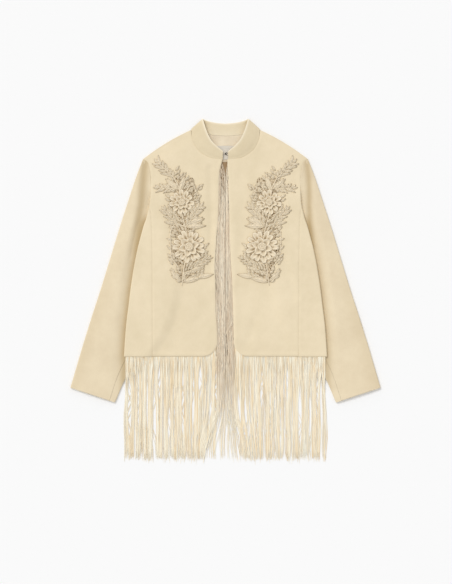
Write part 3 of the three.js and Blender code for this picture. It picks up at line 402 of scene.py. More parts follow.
class Dye:
    """A material being made, with one method for every node but arithmetic."""

    def __init__(self, name: str) -> None:
        """Start from an empty node tree with its shader and output."""
        self.material = bpy.data.materials.new(name)
        self.material.use_nodes = True
        self.tree = self.material.node_tree
        self.tree.nodes.clear()
        self.shader = self.tree.nodes.new("ShaderNodeBsdfPrincipled")
        output = self.tree.nodes.new("ShaderNodeOutputMaterial")
        self.tree.links.new(self.shader.outputs[0], output.inputs["Surface"])

    def _feed(self, socket: bpy.types.NodeSocket, value: object) -> None:
        """Link a value to a socket, or set the socket to it."""
        if isinstance(value, Value):
            self.tree.links.new(value.socket, socket)
        else:
            socket.default_value = value

    def node(
        self,
        kind: str,
        settings: dict[str, object] | None = None,
        sockets: dict[str | int, object] | None = None,
        output: str | int = 0,
    ) -> Value:
        """Add a node.

        Args:
            kind: The node's type.
            settings: Its properties, set first; "stops" are a ramp's stops.
            sockets: Values or links of its inputs, by name or number.
            output: Which output is wanted.

        Returns:
            The wanted output.
        """
        node = self.tree.nodes.new(kind)
        for key, value in (settings or {}).items():
            if key == "stops":
                self._stops(node, value)
            else:
                setattr(node, key, value)
        for key, value in (sockets or {}).items():
            self._feed(node.inputs[key], value)
        return Value(self, node.outputs[output])

    @staticmethod
    def _stops(node: bpy.types.Node, stops: Sequence[tuple[float, Colour]]) -> None:
        """Set a colour ramp's stops."""
        ramp = node.color_ramp
        while len(ramp.elements) < len(stops):
            ramp.elements.new(1.0)
        for element, (place, colour) in zip(ramp.elements, stops):
            element.position = place
            element.color = (*linear(colour), 1.0)

    def coordinates(self) -> Value:
        """Give the piece's own coordinates in metres."""
        return self.node("ShaderNodeTexCoord", output="Object")

    def noise(
        self, scale: float, detail: float = 2.0, at: Value | None = None
    ) -> Value:
        """Give cloudy noise from 0 to 1 with a scale per metre."""
        return self.node(
            "ShaderNodeTexNoise",
            {},
            {
                "Vector": at or self.coordinates(),
                "Scale": scale,
                "Detail": detail,
                "Roughness": 0.55,
            },
        )

    def stretched(self, x: float, y: float, z: float) -> Value:
        """Give the piece's coordinates, multiplied along each axis."""
        return self.node(
            "ShaderNodeVectorMath",
            {"operation": "MULTIPLY"},
            {0: self.coordinates(), 1: (x, y, z)},
        )

    def axis(self, which: int, vector: Value | None = None) -> Value:
        """Give one axis of the piece's coordinates, or of a vector."""
        of = vector or self.coordinates()
        return self.node("ShaderNodeSeparateXYZ", {}, {0: of}, which)

    def bands(self, scale: float, distortion: float, detail: float = 2.0) -> Value:
        """Give diagonal bands from 0 to 1 with a scale per metre."""
        sockets = {"Scale": scale, "Distortion": distortion, "Detail": detail}
        return self.node(
            "ShaderNodeTexWave",
            {"wave_type": "BANDS", "bands_direction": "DIAGONAL"},
            {"Vector": self.coordinates(), **sockets},
            "Fac",
        )

    def attribute(self, name: str) -> Value:
        """Read a number that is kept at each point of the mesh."""
        return self.node("ShaderNodeAttribute", {"attribute_name": name}, {}, "Fac")

    def blend(self, amount: Value | float, first: object, second: object) -> Value:
        """Mix two colours."""
        return self.node(
            "ShaderNodeMix",
            {"data_type": "RGBA"},
            {"Factor": amount, 6: first, 7: second},
            2,
        )

    def ramp(self, amount: Value, stops: Sequence[tuple[float, Colour]]) -> Value:
        """Turn a number into a colour by stops."""
        return self.node("ShaderNodeValToRGB", {"stops": stops}, {"Fac": amount})

    def relief(self, height: Value, depth: float, strength: float = 1.0) -> None:
        """Feed the shader's normal with a bump of a depth in millimetres."""
        bump = self.node(
            "ShaderNodeBump",
            {},
            {"Strength": strength, "Distance": depth * MM, "Height": height},
        )
        self.set(Normal=bump)

    def set(self, **values: object) -> None:
        """Set or link the shader's sockets, with _ for a space in their names."""
        for name, value in values.items():
            self._feed(self.shader.inputs[name.replace("_", " ")], value)


def linear(colour: Colour) -> Colour:
    """Turn a display colour of 0 to 255 into the renderer's own."""
    return tuple(
        c / 255 / 12.92 if c / 255 <= 0.04045 else ((c / 255 + 0.055) / 1.055) ** 2.4
        for c in colour
    )


def paint(colour: Colour) -> tuple[float, float, float, float]:
    """Turn a display colour into a socket's value."""
    return (*linear(colour), 1.0)


@dataclass(frozen=True)
class Suede:
    """Matte suede-like cloth with a short brushed nap and soft clouding, with painted
    shade where the shade attribute is above 0 and a painted highlight where it is below
    0.
    """

    name: str
    light: Colour
    dark: Colour
    painted_shade: Colour
    painted_highlight: Colour = (247, 235, 210)
    sheen: float = 0.12

    def make(self) -> bpy.types.Material:
        """Build the material."""
        dye = Dye(self.name)
        cloud = dye.noise(11, 3) * 0.65 + dye.noise(52, 4) * 0.35
        brushed = dye.noise(1, 3, dye.stretched(420, 150, 420))
        tone = dye.ramp(
            (cloud - 0.5) * 2.1 + 0.5 + (brushed - 0.5) * 0.35,
            ((0.18, self.dark), (0.82, self.light)),
        )
        # Painted light: the shade attribute blends the colour towards a painted
        # highlight below 0 and towards painted shade above 0.
        mark = dye.attribute("shade")
        painted_highlight = dye.blend((mark * -1.0).within(), tone, paint(self.painted_highlight))
        dye.set(
            Base_Color=dye.blend(mark.within(), painted_highlight, paint(self.painted_shade)),
            Roughness=0.86 + 0.12 * dye.noise(300, 2),
            Sheen_Weight=self.sheen,
            Sheen_Roughness=0.5,
            Specular_IOR_Level=0.25,
        )
        nap = dye.noise(1400, 2) * 0.55 + brushed * 0.3 + dye.noise(260, 2) * 0.5
        dye.relief(nap, 0.35, 0.5)
        return dye.material


@dataclass(frozen=True)
class Lining:
    """Smooth woven lining with a fine twill and a faint sheen, clouded at random
    towards its shaded colour, with painted shade from the shade attribute.
    """

    name: str
    colour: Colour
    shaded: Colour

    def make(self) -> bpy.types.Material:
        """Build the material."""
        dye = Dye(self.name)
        twill = dye.bands(420, 0.6, 1)
        cloud = dye.noise(24, 3)
        # Painted shade from the shade attribute, plus random clouding, blends towards
        # the dark shaded colour.
        shade = (dye.attribute("shade") + (cloud - 0.5) * 0.5).within()
        dye.set(
            Base_Color=dye.blend(shade, paint(self.colour), paint(self.shaded)),
            Roughness=0.5 + 0.18 * twill,
            Sheen_Weight=0.08,
            Specular_IOR_Level=0.35,
        )
        dye.relief(twill * 0.6 + cloud * 0.4, 0.12, 0.5)
        return dye.material


@dataclass(frozen=True)
class WovenTape:
    """Plain pale woven label tape: warp and weft on the piece's own cut."""

    name: str
    light: Colour
    dark: Colour

    def make(self) -> bpy.types.Material:
        """Build the material."""
        dye = Dye(self.name)
        cut = dye.node("ShaderNodeUVMap", {"uv_map": "cut"})
        warp = (dye.axis(0, cut) * 7000).sine() * 0.5 + 0.5
        weft = (dye.axis(1, cut) * 5200).sine() * 0.5 + 0.5
        weave = warp * 0.6 + weft * 0.4
        tone = (weave * 0.4 + dye.noise(90, 3) * 0.6).within()
        dye.set(
            Base_Color=dye.blend(tone, paint(self.dark), paint(self.light)),
            Roughness=0.55 + 0.2 * weave,
            Sheen_Weight=0.1,
        )
        dye.relief(weave, 0.1, 0.6)
        return dye.material


@dataclass(frozen=True)
class LaceThread:
    """Raised embroidered lace, with painted shade in its hollows and painted highlights
    on its crests, read from the height kept in the shade attribute.
    """

    name: str
    hollow_shade: Colour
    middle: Colour
    crest: Colour

    def make(self) -> bpy.types.Material:
        """Build the material."""
        dye = Dye(self.name)
        stitches = dye.noise(1, 2, dye.stretched(1500, 900, 1200))
        # Painted light by height: low places take the painted shade colour and high
        # ones the painted highlight.
        high = dye.attribute("shade") + (stitches - 0.5) * 0.35
        dye.set(
            Base_Color=dye.ramp(
                high.within(),
                ((0.0, self.hollow_shade), (0.45, self.middle), (0.95, self.crest)),
            ),
            Roughness=0.82 + 0.12 * stitches,
            Sheen_Weight=0.1,
            Specular_IOR_Level=0.3,
        )
        dye.relief(stitches * 0.7 + dye.noise(2600, 1) * 0.3, 0.35, 0.8)
        return dye.material


@dataclass(frozen=True)
class NetGround:
    """The net between the motifs: fine cords round small holes, with painted shade in
    the holes.
    """

    name: str
    hole_shade: Colour
    cord: Colour

    def make(self) -> bpy.types.Material:
        """Build the material."""
        dye = Dye(self.name)
        cells = dye.node(
            "ShaderNodeTexVoronoi",
            {"feature": "DISTANCE_TO_EDGE"},
            {"Vector": dye.coordinates(), "Scale": 230},
            "Distance",
        )
        # Painted shade: the holes take a dark brown in place of the cloth that shows
        # through them.
        open_ = ((cells - 0.12) * 6.0).within()
        dye.set(
            Base_Color=dye.blend(open_, paint(self.cord), paint(self.hole_shade)),
            Roughness=0.9,
            Specular_IOR_Level=0.2,
        )
        dye.relief(1.0 - open_, 0.8, 0.8)
        return dye.material


@dataclass(frozen=True)
class FringeThread:
    """Soft twisted thread, each one a little lighter or darker than the next."""

    name: str
    light: Colour
    dark: Colour
    lit_ends: float = 0.0
    streaks: float = 0.0

    def make(self) -> bpy.types.Material:
        """Build the material, with painted light on the lower ends where they lie
        spread out in the open.
        """
        dye = Dye(self.name)
        each = dye.noise(1, 2, dye.stretched(620, 9, 400))
        along = dye.noise(1, 2, dye.stretched(160, 26, 160))
        tone = ((each - 0.5) * 3.0 + 0.5) * 0.75 + along * 0.25
        locks = dye.noise(1, 2, dye.stretched(240, 6, 150))
        tone = tone + (locks - 0.5) * self.streaks
        # Painted light: lighter below about 0.23 m under the origin.
        low = ((-0.23 - dye.axis(1)) * 8.0).within()
        tone = tone + low * self.lit_ends
        ply = dye.bands(520, 1.2)
        dye.set(
            Base_Color=dye.blend(tone.within(), paint(self.dark), paint(self.light)),
            Roughness=0.6 + 0.2 * ply,
            Sheen_Weight=0.5,
            Sheen_Roughness=0.5,
            Specular_IOR_Level=0.3,
        )
        dye.relief(ply, 0.2, 0.5)
        return dye.material


@dataclass(frozen=True)
class Gunmetal:
    """Dark wire with rubbed edges, wrapped in pale thread where it is sewn on."""

    name: str = "gunmetal_wire"
    wrapping: Colour = (214, 205, 190)

    def make(self) -> bpy.types.Material:
        """Build the material."""
        dye = Dye(self.name)
        rubbed = dye.noise(700, 3)
        bare = (1.0 - ((dye.axis(0) * 1000 - 0.9) ** 2.0 - 6.0) * 0.6).within()
        metal = dye.ramp(rubbed, ((0.35, (40, 37, 34)), (0.8, (84, 80, 76))))
        dye.set(
            Base_Color=dye.blend(bare, paint(self.wrapping), metal),
            Metallic=0.85 * bare,
            Roughness=0.7 - 0.35 * bare + 0.2 * rubbed,
        )
        dye.relief(rubbed, 0.05, 0.4)
        return dye.material


@dataclass(frozen=True)
class PaleBoard:
    """The plain pale surface that the jacket lies on."""

    name: str = "pale_board"
    colour: Colour = (246, 246, 246)

    def make(self) -> bpy.types.Material:
        """Build the material."""
        dye = Dye(self.name)
        fine = dye.noise(400, 2)
        dye.set(
            Base_Color=dye.blend(fine, paint(self.colour), paint((250, 250, 250))),
            Roughness=0.9,
            Specular_IOR_Level=0.1,
        )
        return dye.material


class Wardrobe:
    """The finished materials, each made once."""

    def __init__(self) -> None:
        """Make every finish."""
        self.suede = Suede(
            "cream_suede", (236, 220, 189), (227, 211, 179), (190, 166, 130)
        ).make()
        self.sleeve = Suede(
            "cream_suede_sleeve", (235, 219, 188), (226, 209, 178), (184, 160, 117)
        ).make()
        self.collar = Suede(
            "cream_suede_collar", (230, 214, 182), (221, 205, 172), (184, 160, 122)
        ).make()
        self.lining = Lining("cream_lining", (238, 223, 196), (150, 118, 78)).make()
        self.label = WovenTape("blank_label", (224, 216, 202), (206, 198, 184)).make()
        self.lace = LaceThread(
            "raised_lace", (144, 118, 80), (226, 210, 181), (241, 227, 201)
        ).make()
        self.ground = NetGround("lace_ground", (122, 94, 58), (217, 199, 168)).make()
        self.thread = FringeThread(
            "fringe_thread", (255, 251, 234), (245, 222, 182), 0.0, 1.7
        ).make()
        # The threads over the middle are a darker copy of the fringe thread: painted
        # shade for where they lie between the fronts.
        self.shaded_edge_thread = FringeThread(
            "edge_fringe_thread", (255, 246, 224), (222, 197, 165), 0.6
        ).make()
        self.wire = Gunmetal().make()


def settle(bm: bmesh.types.BMesh, outward: Vector | None) -> None:
    """Turn all faces to point outwards.

    Args:
        bm: The mesh.
        outward: The way that the outer face looks, or None where it wraps round.
    """
    bm.normal_update()
    if outward is None:
        middle = sum(v.co.z for v in bm.verts) / len(bm.verts)
        facing = sum(
            f.normal.z * (f.calc_center_median().z - middle) * f.calc_area()
            for f in bm.faces
        )
    else:
        facing = sum(f.normal.dot(outward) * f.calc_area() for f in bm.faces)
    if facing < 0:
        bmesh.ops.reverse_faces(bm, faces=bm.faces[:])


def to_object(
    name: str, bm: bmesh.types.BMesh, *materials: bpy.types.Material
) -> bpy.types.Object:
    """Turn a mesh being made into a smooth-shaded object in the scene."""
    mesh = bpy.data.meshes.new(name)
    bm.to_mesh(mesh)
    bm.free()
    mesh.shade_smooth()
    for material in materials:
        mesh.materials.append(material)
    piece = bpy.data.objects.new(name, mesh)
    bpy.context.scene.collection.objects.link(piece)
    return piece


@dataclass(frozen=True)
class Sheet:
    """A sheet of cloth, laid from a grid and given its thickness.

    Attributes:
        name: The piece's name.
        slot: Its material slot's name, which is not used.
        node: The solid that it stands for.
        grid: Steps across and along.
        outward: The way that its outer face looks, or None where it wraps round.
        thickness: Millimetres.
        edge: How much its edges are rounded, in millimetres.
        offset: -1 to thicken away from the outer face, 0 both ways.
        cut: The size in metres that its own map covers.
    """

    name: str
    slot: str
    node: str
    grid: tuple[int, int]
    outward: tuple[float, float, float] | None = (0, 0, 1)
    thickness: float = CLOTH
    edge: float = 0.4
    offset: float = -1.0
    cut: tuple[float, float] = (1.0, 1.0)

    def lay(
        self,
        place: Callable[[float, float], Spot],
        *materials: bpy.types.Material,
    ) -> bpy.types.Object:
        """Lay the sheet.

        Args:
            place: Gives x, y, z and shade for two shares from 0 to 1.
            *materials: Its finish, and one for its inner face if that differs.

        Returns:
            The piece.
        """
        bm = bmesh.new()
        shade = bm.verts.layers.float.new("shade")
        flat = bm.loops.layers.uv.new("cut")
        columns, rows = self.grid
        bmesh.ops.create_grid(bm, x_segments=columns, y_segments=rows, size=0.5)
        shares = {}
        for vert in bm.verts:
            u, v = vert.co.x + 0.5, vert.co.y + 0.5
            shares[vert] = (u, v)
            x, y, z, depth = place(u, v)
            vert.co = (x * MM, y * MM, z * MM)
            vert[shade] = depth
        for face in bm.faces:
            for loop in face.loops:
                u, v = shares[loop.vert]
                loop[flat].uv = (u * self.cut[0], v * self.cut[1])
        settle(bm, None if self.outward is None else Vector(self.outward))
        piece = to_object(self.name, bm, *materials)
        self._thicken(piece, len(materials) - 1)
        return dress(piece, self.slot, self.node)

    def _thicken(self, piece: bpy.types.Object, inside: int) -> None:
        """Give the sheet its thickness and a soft turned edge."""
        solid = piece.modifiers.new("thickness", "SOLIDIFY")
        solid.thickness = self.thickness * MM
        solid.offset = self.offset
        solid.use_even_offset = False
        solid.material_offset = inside
        edge = piece.modifiers.new("turned_edge", "BEVEL")
        edge.width = self.edge * MM
        edge.segments = 2
        edge.limit_method = "ANGLE"
        edge.angle_limit = math.radians(55)


def dress(
    piece: bpy.types.Object, slot: str, *nodes: str, body: str = ROOT
) -> bpy.types.Object:
    """Let a piece ride on the jacket and stand for its solids."""
    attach(piece, body)
    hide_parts(*nodes)
    LOG.info("%s stands for %s", piece.name, ", ".join(nodes))
    return piece


def gather(t: float, share: float = 0.5) -> float:
    """Crowd the steps of a grid towards its two ends."""
    return mix(t, 0.5 - 0.5 * math.cos(math.pi * t), share)


def sewn(distance: float) -> float:
    """Give the height of cloth near a sewn seam: a groove with a swell beside it."""
    return -0.4 * ridge(distance, 1.9) + 0.22 * ridge(distance - 6, 4)


def turned(distance: float) -> float:
    """Give the height of cloth near a turned edge, where it is thicker."""
    return 0.45 * ridge(distance - 5, 4.5) - 0.4 * ridge(distance, 1.5)


@dataclass
class Back:
    """The back panel, one piece, lying on the surface and up over the sleeves."""

    neck_y: float = 386.5
    inner: float = 0.45

    def _sections(self) -> list[Table]:
        """Make the sections' outer end, neck end and middle, shoulder to hem."""
        outer = FRONT_OUTER[:-2] + FRONT_OUTER[-1:]
        below = [y for _, y in outer[len(ARMHOLE) :]]
        neck_x = [86.5, 85] + [84.0] * (len(outer) - 2)
        neck_y = [401.5, 388, 362, 332, 299, 268, 238, 213, *below]
        middle = [self.neck_y, 376, 354, 328, 298, 268, 240, 215, *below]
        return numbered([*zip(*zip(*outer), neck_x, neck_y, middle)])

    def build(self, cloth: Wardrobe) -> bpy.types.Object:
        """Lay the back with its lining inside."""
        sections = self._sections()
        last = len(sections[0].keys) - 1

        def place(u: float, v: float) -> Spot:
            """Give a place: u across, v from the hem up."""
            s = (1 - v) * last
            across = 2 * u - 1
            reach = abs(across)
            ox, oy, nx, ny, cy = (table.at(s) for table in sections)
            if reach < self.inner:
                t = reach / self.inner
                x, y = nx * t, mix(cy, ny, t * t)
            else:
                t = (reach - self.inner) / (1 - self.inner)
                bow_x, bow_y = shoulder_bow(s, t)
                x = mix(nx, ox - JOIN, t) + bow_x
                y = mix(ny, oy, t) + bow_y
            z = LAY.back_under(x, y)
            # Painted shadow on the lining inside the open front, near the middle and
            # below the neck.
            inside = ridge(x, 30) * smooth((332 - y) / 12)
            return math.copysign(x, across), y, z, inside * 0.9

        sheet = Sheet("back_panel", "suede", "back", (84, last * 6), (0, 0, -1))
        return sheet.lay(place, cloth.suede, cloth.lining)


@dataclass
class Front:
    """One front, from the shoulder seam to the hem, open at the middle."""

    side: Side
    columns: int = 92
    per_section: int = 8

    def __post_init__(self) -> None:
        """Make the section tables."""
        self.outer_x, self.outer_y = numbered(FRONT_OUTER)
        self.neck_x, self.neck_y = numbered(NECKLINE)
        self.level = Table(range(5, 17), [y for y, _, _ in FRONT_EDGE])
        self.last = len(FRONT_OUTER) - 1

    def inner_end(self, s: float) -> Place:
        """Give where a section starts on the neckline, front edge or corner."""
        if s <= 5:
            x, y = self.neck_x.at(s), self.neck_y.at(s)
            edge = LAY.edges[self.side].at(FRONT_TOP)
            return mix(x, edge, smooth(s - 4) if s > 4 else 0), y
        if s <= 16:
            y = self.level.at(s)
            return LAY.edges[self.side].at(y), y
        return LAY.corner((s - 16) * 30, self.side)

    def plan(self, s: float, t: float) -> Place:
        """Give a place on a section, as distance from the middle and height in plan."""
        x0, y0 = self.inner_end(s)
        x1, y1 = self.outer_x.at(s) - JOIN, self.outer_y.at(s)
        bow_x, bow_y = shoulder_bow(s, t)
        return mix(x0, x1, t) + bow_x, mix(y0, y1, t) + bow_y

    def top(self, x: float, y: float) -> float:
        """Give the height of the front's outer face, away from its edges."""
        return LAY.front_under(x, y, self.side) + CLOTH

    def build(self, cloth: Wardrobe) -> bpy.types.Object:
        """Lay the front, with grooves at its seams and a soft turned edge."""

        def place(u: float, v: float) -> Spot:
            """Give a place: u from the front edge out, v from the hem up."""
            s = (1 - v) * self.last
            t = gather(u)
            x, y = self.plan(s, t)
            x0, y0 = self.inner_end(s)
            width = math.hypot(self.outer_x.at(s) - x0, self.outer_y.at(s) - y0)
            from_inner, from_outer = t * width, (1 - t) * width
            z = self.top(x, y) + sewn(from_outer) + sewn(distance_to(x, y, SHOULDER))
            if s <= 5:
                z += sewn(from_inner) * (1 - smooth(s - 4))
            edge = smooth((s - 4.6) / 0.6)
            z += edge * turned(min(from_inner, y - HEM_Y + 40 * (1 - smooth(s - 12))))
            z += turned(y - HEM_Y)
            # A slightly darker line along the outer seam, and a painted highlight along
            # the front edge.
            shade = 0.05 * ridge(from_outer, 1.6) - 0.25 * edge * ridge(from_inner, 1.6)
            return self.side.value * x, y, z, shade

        word = self.side.word
        grid = (self.columns, self.last * self.per_section)
        sheet = Sheet(f"front_panel_{word}", "suede", f"front_{word}", grid, edge=0.28)
        return sheet.lay(place, cloth.suede, cloth.lining)


@dataclass
class SidePanel:
    """The narrow panel under an arm, bent round the body's side.

    Its leaf is the share of the way round that lies flat on each side of the fold.
    """

    side: Side
    leaf: float = 0.38

    def _section(self, y: float, w: float) -> tuple[float, float, float]:
        """Give a section's place: w goes from the back seam round to the front seam.

        Args:
            y: Height in plan.
            w: Share of the way round, from 0 to 1.

        Returns:
            x, z and the distance from the nearer seam.
        """
        seam, edge = LAY.side_seam.at(y), LAY.side_edge.at(y)
        low = LAY.back_under(edge, y)
        high = LAY.front_under(edge, y, self.side) + CLOTH
        radius = (high - low) / 2
        reach = min(radius, (edge - seam) / 2)
        turn = edge - reach
        if w < self.leaf:
            t = w / self.leaf
            x = mix(seam, turn, t)
            return x, mix(LAY.back_under(x, y), low, t), 99.0
        if w > 1 - self.leaf:
            t = (1 - w) / self.leaf
            x = mix(seam, turn, t)
            z = mix(LAY.front_under(x, y, self.side) + CLOTH, high, t)
            return x, z, x - seam
        a = math.pi * (w - self.leaf) / (1 - 2 * self.leaf)
        return turn + reach * math.sin(a), low + radius - radius * math.cos(a), 99.0

    def build(self, cloth: Wardrobe) -> bpy.types.Object:
        """Lay the panel."""
        top, bottom = SIDE[0][0], SIDE[-1][0]

        def place(u: float, v: float) -> Spot:
            """Give a place: u from the back seam round, v from the hem up."""
            y = mix(bottom, top, v)
            x, z, from_seam = self._section(y, u)
            z += sewn(from_seam) + (turned(y - HEM_Y) if u > 0.5 else 0.0)
            return self.side.value * x, y, z, 0.05 * ridge(from_seam, 1.6)

        sheet = Sheet(
            f"side_panel_cloth_{self.side.word}",
            "suede",
            f"side_panel_{self.side.word}",
            (64, 110),
            (self.side.value, 0, 0.05),
            edge=0.2,
        )
        return sheet.lay(place, cloth.suede, cloth.lining)


@dataclass
class Sleeve:
    """A two-piece sleeve, lying flat and partly under the body.

    Each piece's fold is given by the shares of the way round where it starts and ends.
    A shadow is the width and depth of the painted shade in the valley, and the depth of
    the painted shadow that the body casts.
    """

    side: Side
    crown: float = 13.0
    outer_fold: float = 6.8
    cuff: float = 7.2
    under_seam: float = 0.2
    seam_gap: float = 0.001
    tuck: float = 0.1
    upper_fold: tuple[float, float] = (0.14, 0.26)
    under_fold: tuple[float, float] = (0.26, 0.44)
    valleys: tuple[tuple[Place, ...], ...] = (
        ((200, 322), (205.5, 268), (210, 213), (220, 157), (229, 100), (236, 50)),
        ((203, 320), (207.5, 285), (209, 245), (208.5, 215), (211, 165), (219, 110)),
    )
    shadows: tuple[tuple[float, float, float], ...] = ((11, 1.0, 0.7), (7.5, 0.95, 0.5))

    def __post_init__(self) -> None:
        """Make the sleeve's lines."""
        self.outer = Line(SLEEVE_OUTER)
        self.inner = Line(SLEEVE_INNER)
        head = ARMHOLE + ARMHOLE_HIDDEN
        self.head_x, self.head_y = numbered(head)
        self.head_steps = len(head) - 1
        self.seam_top = Table((0, 0.75, 1), (0.82, 0.82, 0.88))
        self.valley = self.valleys[self.side is Side.LEFT]
        self.shadow = self.shadows[self.side is Side.LEFT]

    def plan(self, u: float, t: float) -> Place:
        """Give a place in plan: u from armhole to cuff, t from the outer fold in."""
        (ax, ay), (bx, by) = self.outer.at(u), self.inner.at(u)
        place = t * self.head_steps
        hold = max(0.0, 1 - u / 0.34) ** 2
        (fx, fy), (lx, ly) = ARMHOLE[0], ARMHOLE_HIDDEN[-1]
        x = mix(ax, bx, t) + (self.head_x.at(place) - mix(fx, lx, t)) * hold
        y = mix(ay, by, t) + (self.head_y.at(place) - mix(fy, ly, t)) * hold
        return x, y

    def top(self, u: float, t: float) -> float:
        """Give the height of the sleeve's upper face."""
        x, y = self.plan(u, t)
        beyond = x - LAY.body_edge(y)
        crown = mix(self.crown, self.cuff + 1, smooth((u - 0.45) / 0.5))
        across = math.sin(math.pi * min(1.0, t / 0.9))
        open_ = mix(mix(self.outer_fold, self.cuff, u), crown, across)
        low = smooth((y - LAY.lift_end_y) / 26)
        rise = smooth(distance_to(x, y, SHOULDER) / SHOULDER_RISE)
        least = mix(4.3, LAY.under_body, rise)
        seam = mix(LAY.under_body, mix(4.4, 7.8, rise), low)
        valley = mix(LAY.under_body, max(least, seam - 1.6), low)
        beside = mix(valley, open_, smooth((beyond - 2) / 30))
        height = mix(beside, seam, 1 - smooth(beyond / 9))
        free = smooth((beyond - 3) / 12) * smooth(t / 0.12)
        dip = 3.4 * ridge(distance_to(x, y, self.valley), 11)
        kind = 11.0 * self.side.value
        soft = 0.9 * ripple(x * 1.6, y * 0.6, 60, kind)
        soft += 0.35 * ripple(x, y, 24, kind + 4)
        height += (soft - dip * smooth((y - 40) / 60)) * free * (1 - 0.5 * u)
        return max(least, height)

    def _place(self, u: float, t: float, push: float, z: float) -> tuple[float, ...]:
        """Give a place pushed out across the sleeve."""
        x, y = self.plan(u, t)
        (ax, ay), (bx, by) = self.plan(u, 0), self.plan(u, 1)
        length = math.hypot(bx - ax, by - ay)
        dx, dy = (ax - bx) / length, (ay - by) / length
        return x + dx * push, y + dy * push, z

    @staticmethod
    def _round(u: float) -> float:
        """Say how far the folds round outwards, less at the armhole's corner."""
        return mix(0.1, 1.0, smooth(u / 0.05))

    def _level(self, u: float, t: float, upper: bool) -> tuple[float, ...]:
        """Give a place on the flat of the sleeve's upper or under face."""
        radius = self.top(u, min(1.0, max(0.0, t))) / 2
        push = 0.0
        radius *= self._round(u)
        if t <= self.tuck:
            push = -radius * (1 - t / self.tuck)
        elif t >= 1 - self.tuck:
            push = radius * (1 - (1 - t) / self.tuck)
        return self._place(u, t, push, self.top(u, t) if upper else 0.0)

    def _fold(self, u: float, t: float, sign: int, turn: float) -> tuple[float, ...]:
        """Give a place on a fold, with turn from 0 below to 1 above."""
        radius = self.top(u, t) / 2
        a = math.pi * turn
        push = sign * (radius * math.sin(a) - radius) * self._round(u)
        return self._place(u, t, push, radius - radius * math.cos(a))

    def upper_place(self, u: float, w: float) -> tuple[float, ...]:
        """Give a place on the upper sleeve: w from the seam below to the one above."""
        start, end = self.upper_fold
        if w < start:
            seam = self.under_seam - self.seam_gap
            return self._level(u, mix(seam, 0, w / start), False)
        if w < end:
            return self._fold(u, 0, 1, (w - start) / (end - start))
        seam = self.seam_top.at(u) - self.seam_gap
        return self._level(u, mix(0, seam, (w - end) / (1 - end)), True)

    def under_place(self, u: float, w: float) -> tuple[float, ...]:
        """Give a place on the under sleeve: w from the seam above to the one below."""
        start, end = self.under_fold
        if w < start:
            seam = self.seam_top.at(u) + self.seam_gap
            return self._level(u, mix(seam, 1, w / start), True)
        if w < end:
            return self._fold(u, 1, -1, 1 - (w - start) / (end - start))
        seam = self.under_seam + self.seam_gap
        return self._level(u, mix(1, seam, (w - end) / (1 - end)), False)

    def _shade(self, x: float, y: float, u: float) -> float:
        """Give the painted shade of a place on the sleeve's upper face: in the valley,
        beside the body and near the outer fold, less a painted highlight at the cuff's
        edge.
        """
        width, depth, body_shadow = self.shadow
        # Painted shade in the valley beside the armhole.
        near = ridge(distance_to(x, y, self.valley), width)
        shade = 0.62 * depth * near * smooth((y - 60) / 120)
        # Painted shadow that the body casts beside its edge.
        beyond = max(0.0, x - LAY.body_edge(y))
        shade += body_shadow * ridge(beyond, 11) * smooth((200 - y) / 30)
        # Painted shade in a band near the outer fold.
        outer = self.outer.x.at(u * self.outer.length) - x
        shade += 0.14 * ridge(outer - 6, 18) * smooth((u - 0.4) / 0.3)
        # A painted highlight along the cuff's edge.
        return shade - 0.3 * ridge((1 - u) * 600, 2)

    def build(self, cloth: Wardrobe) -> list[bpy.types.Object]:
        """Lay both pieces."""
        pieces = []
        for word, at, columns in (
            ("upper", self.upper_place, 100),
            ("under", self.under_place, 50),
        ):

            def place(w: float, v: float) -> Spot:
                """Give a place: w round the sleeve, v from the cuff up."""
                u = gather(1 - v, 0.35)
                x, y, z = at(u, w)
                above = z > LAY.under_body - 0.5
                shade = self._shade(x, y, u) if above else 0.0
                return self.side.value * x, y, z, shade

            sheet = Sheet(
                f"{word}_sleeve_cloth_{self.side.word}",
                "suede",
                f"{word}_sleeve_{self.side.word}",
                (columns, 120),
                None,
            )
            pieces.append(sheet.lay(place, cloth.sleeve, cloth.lining))
        return pieces


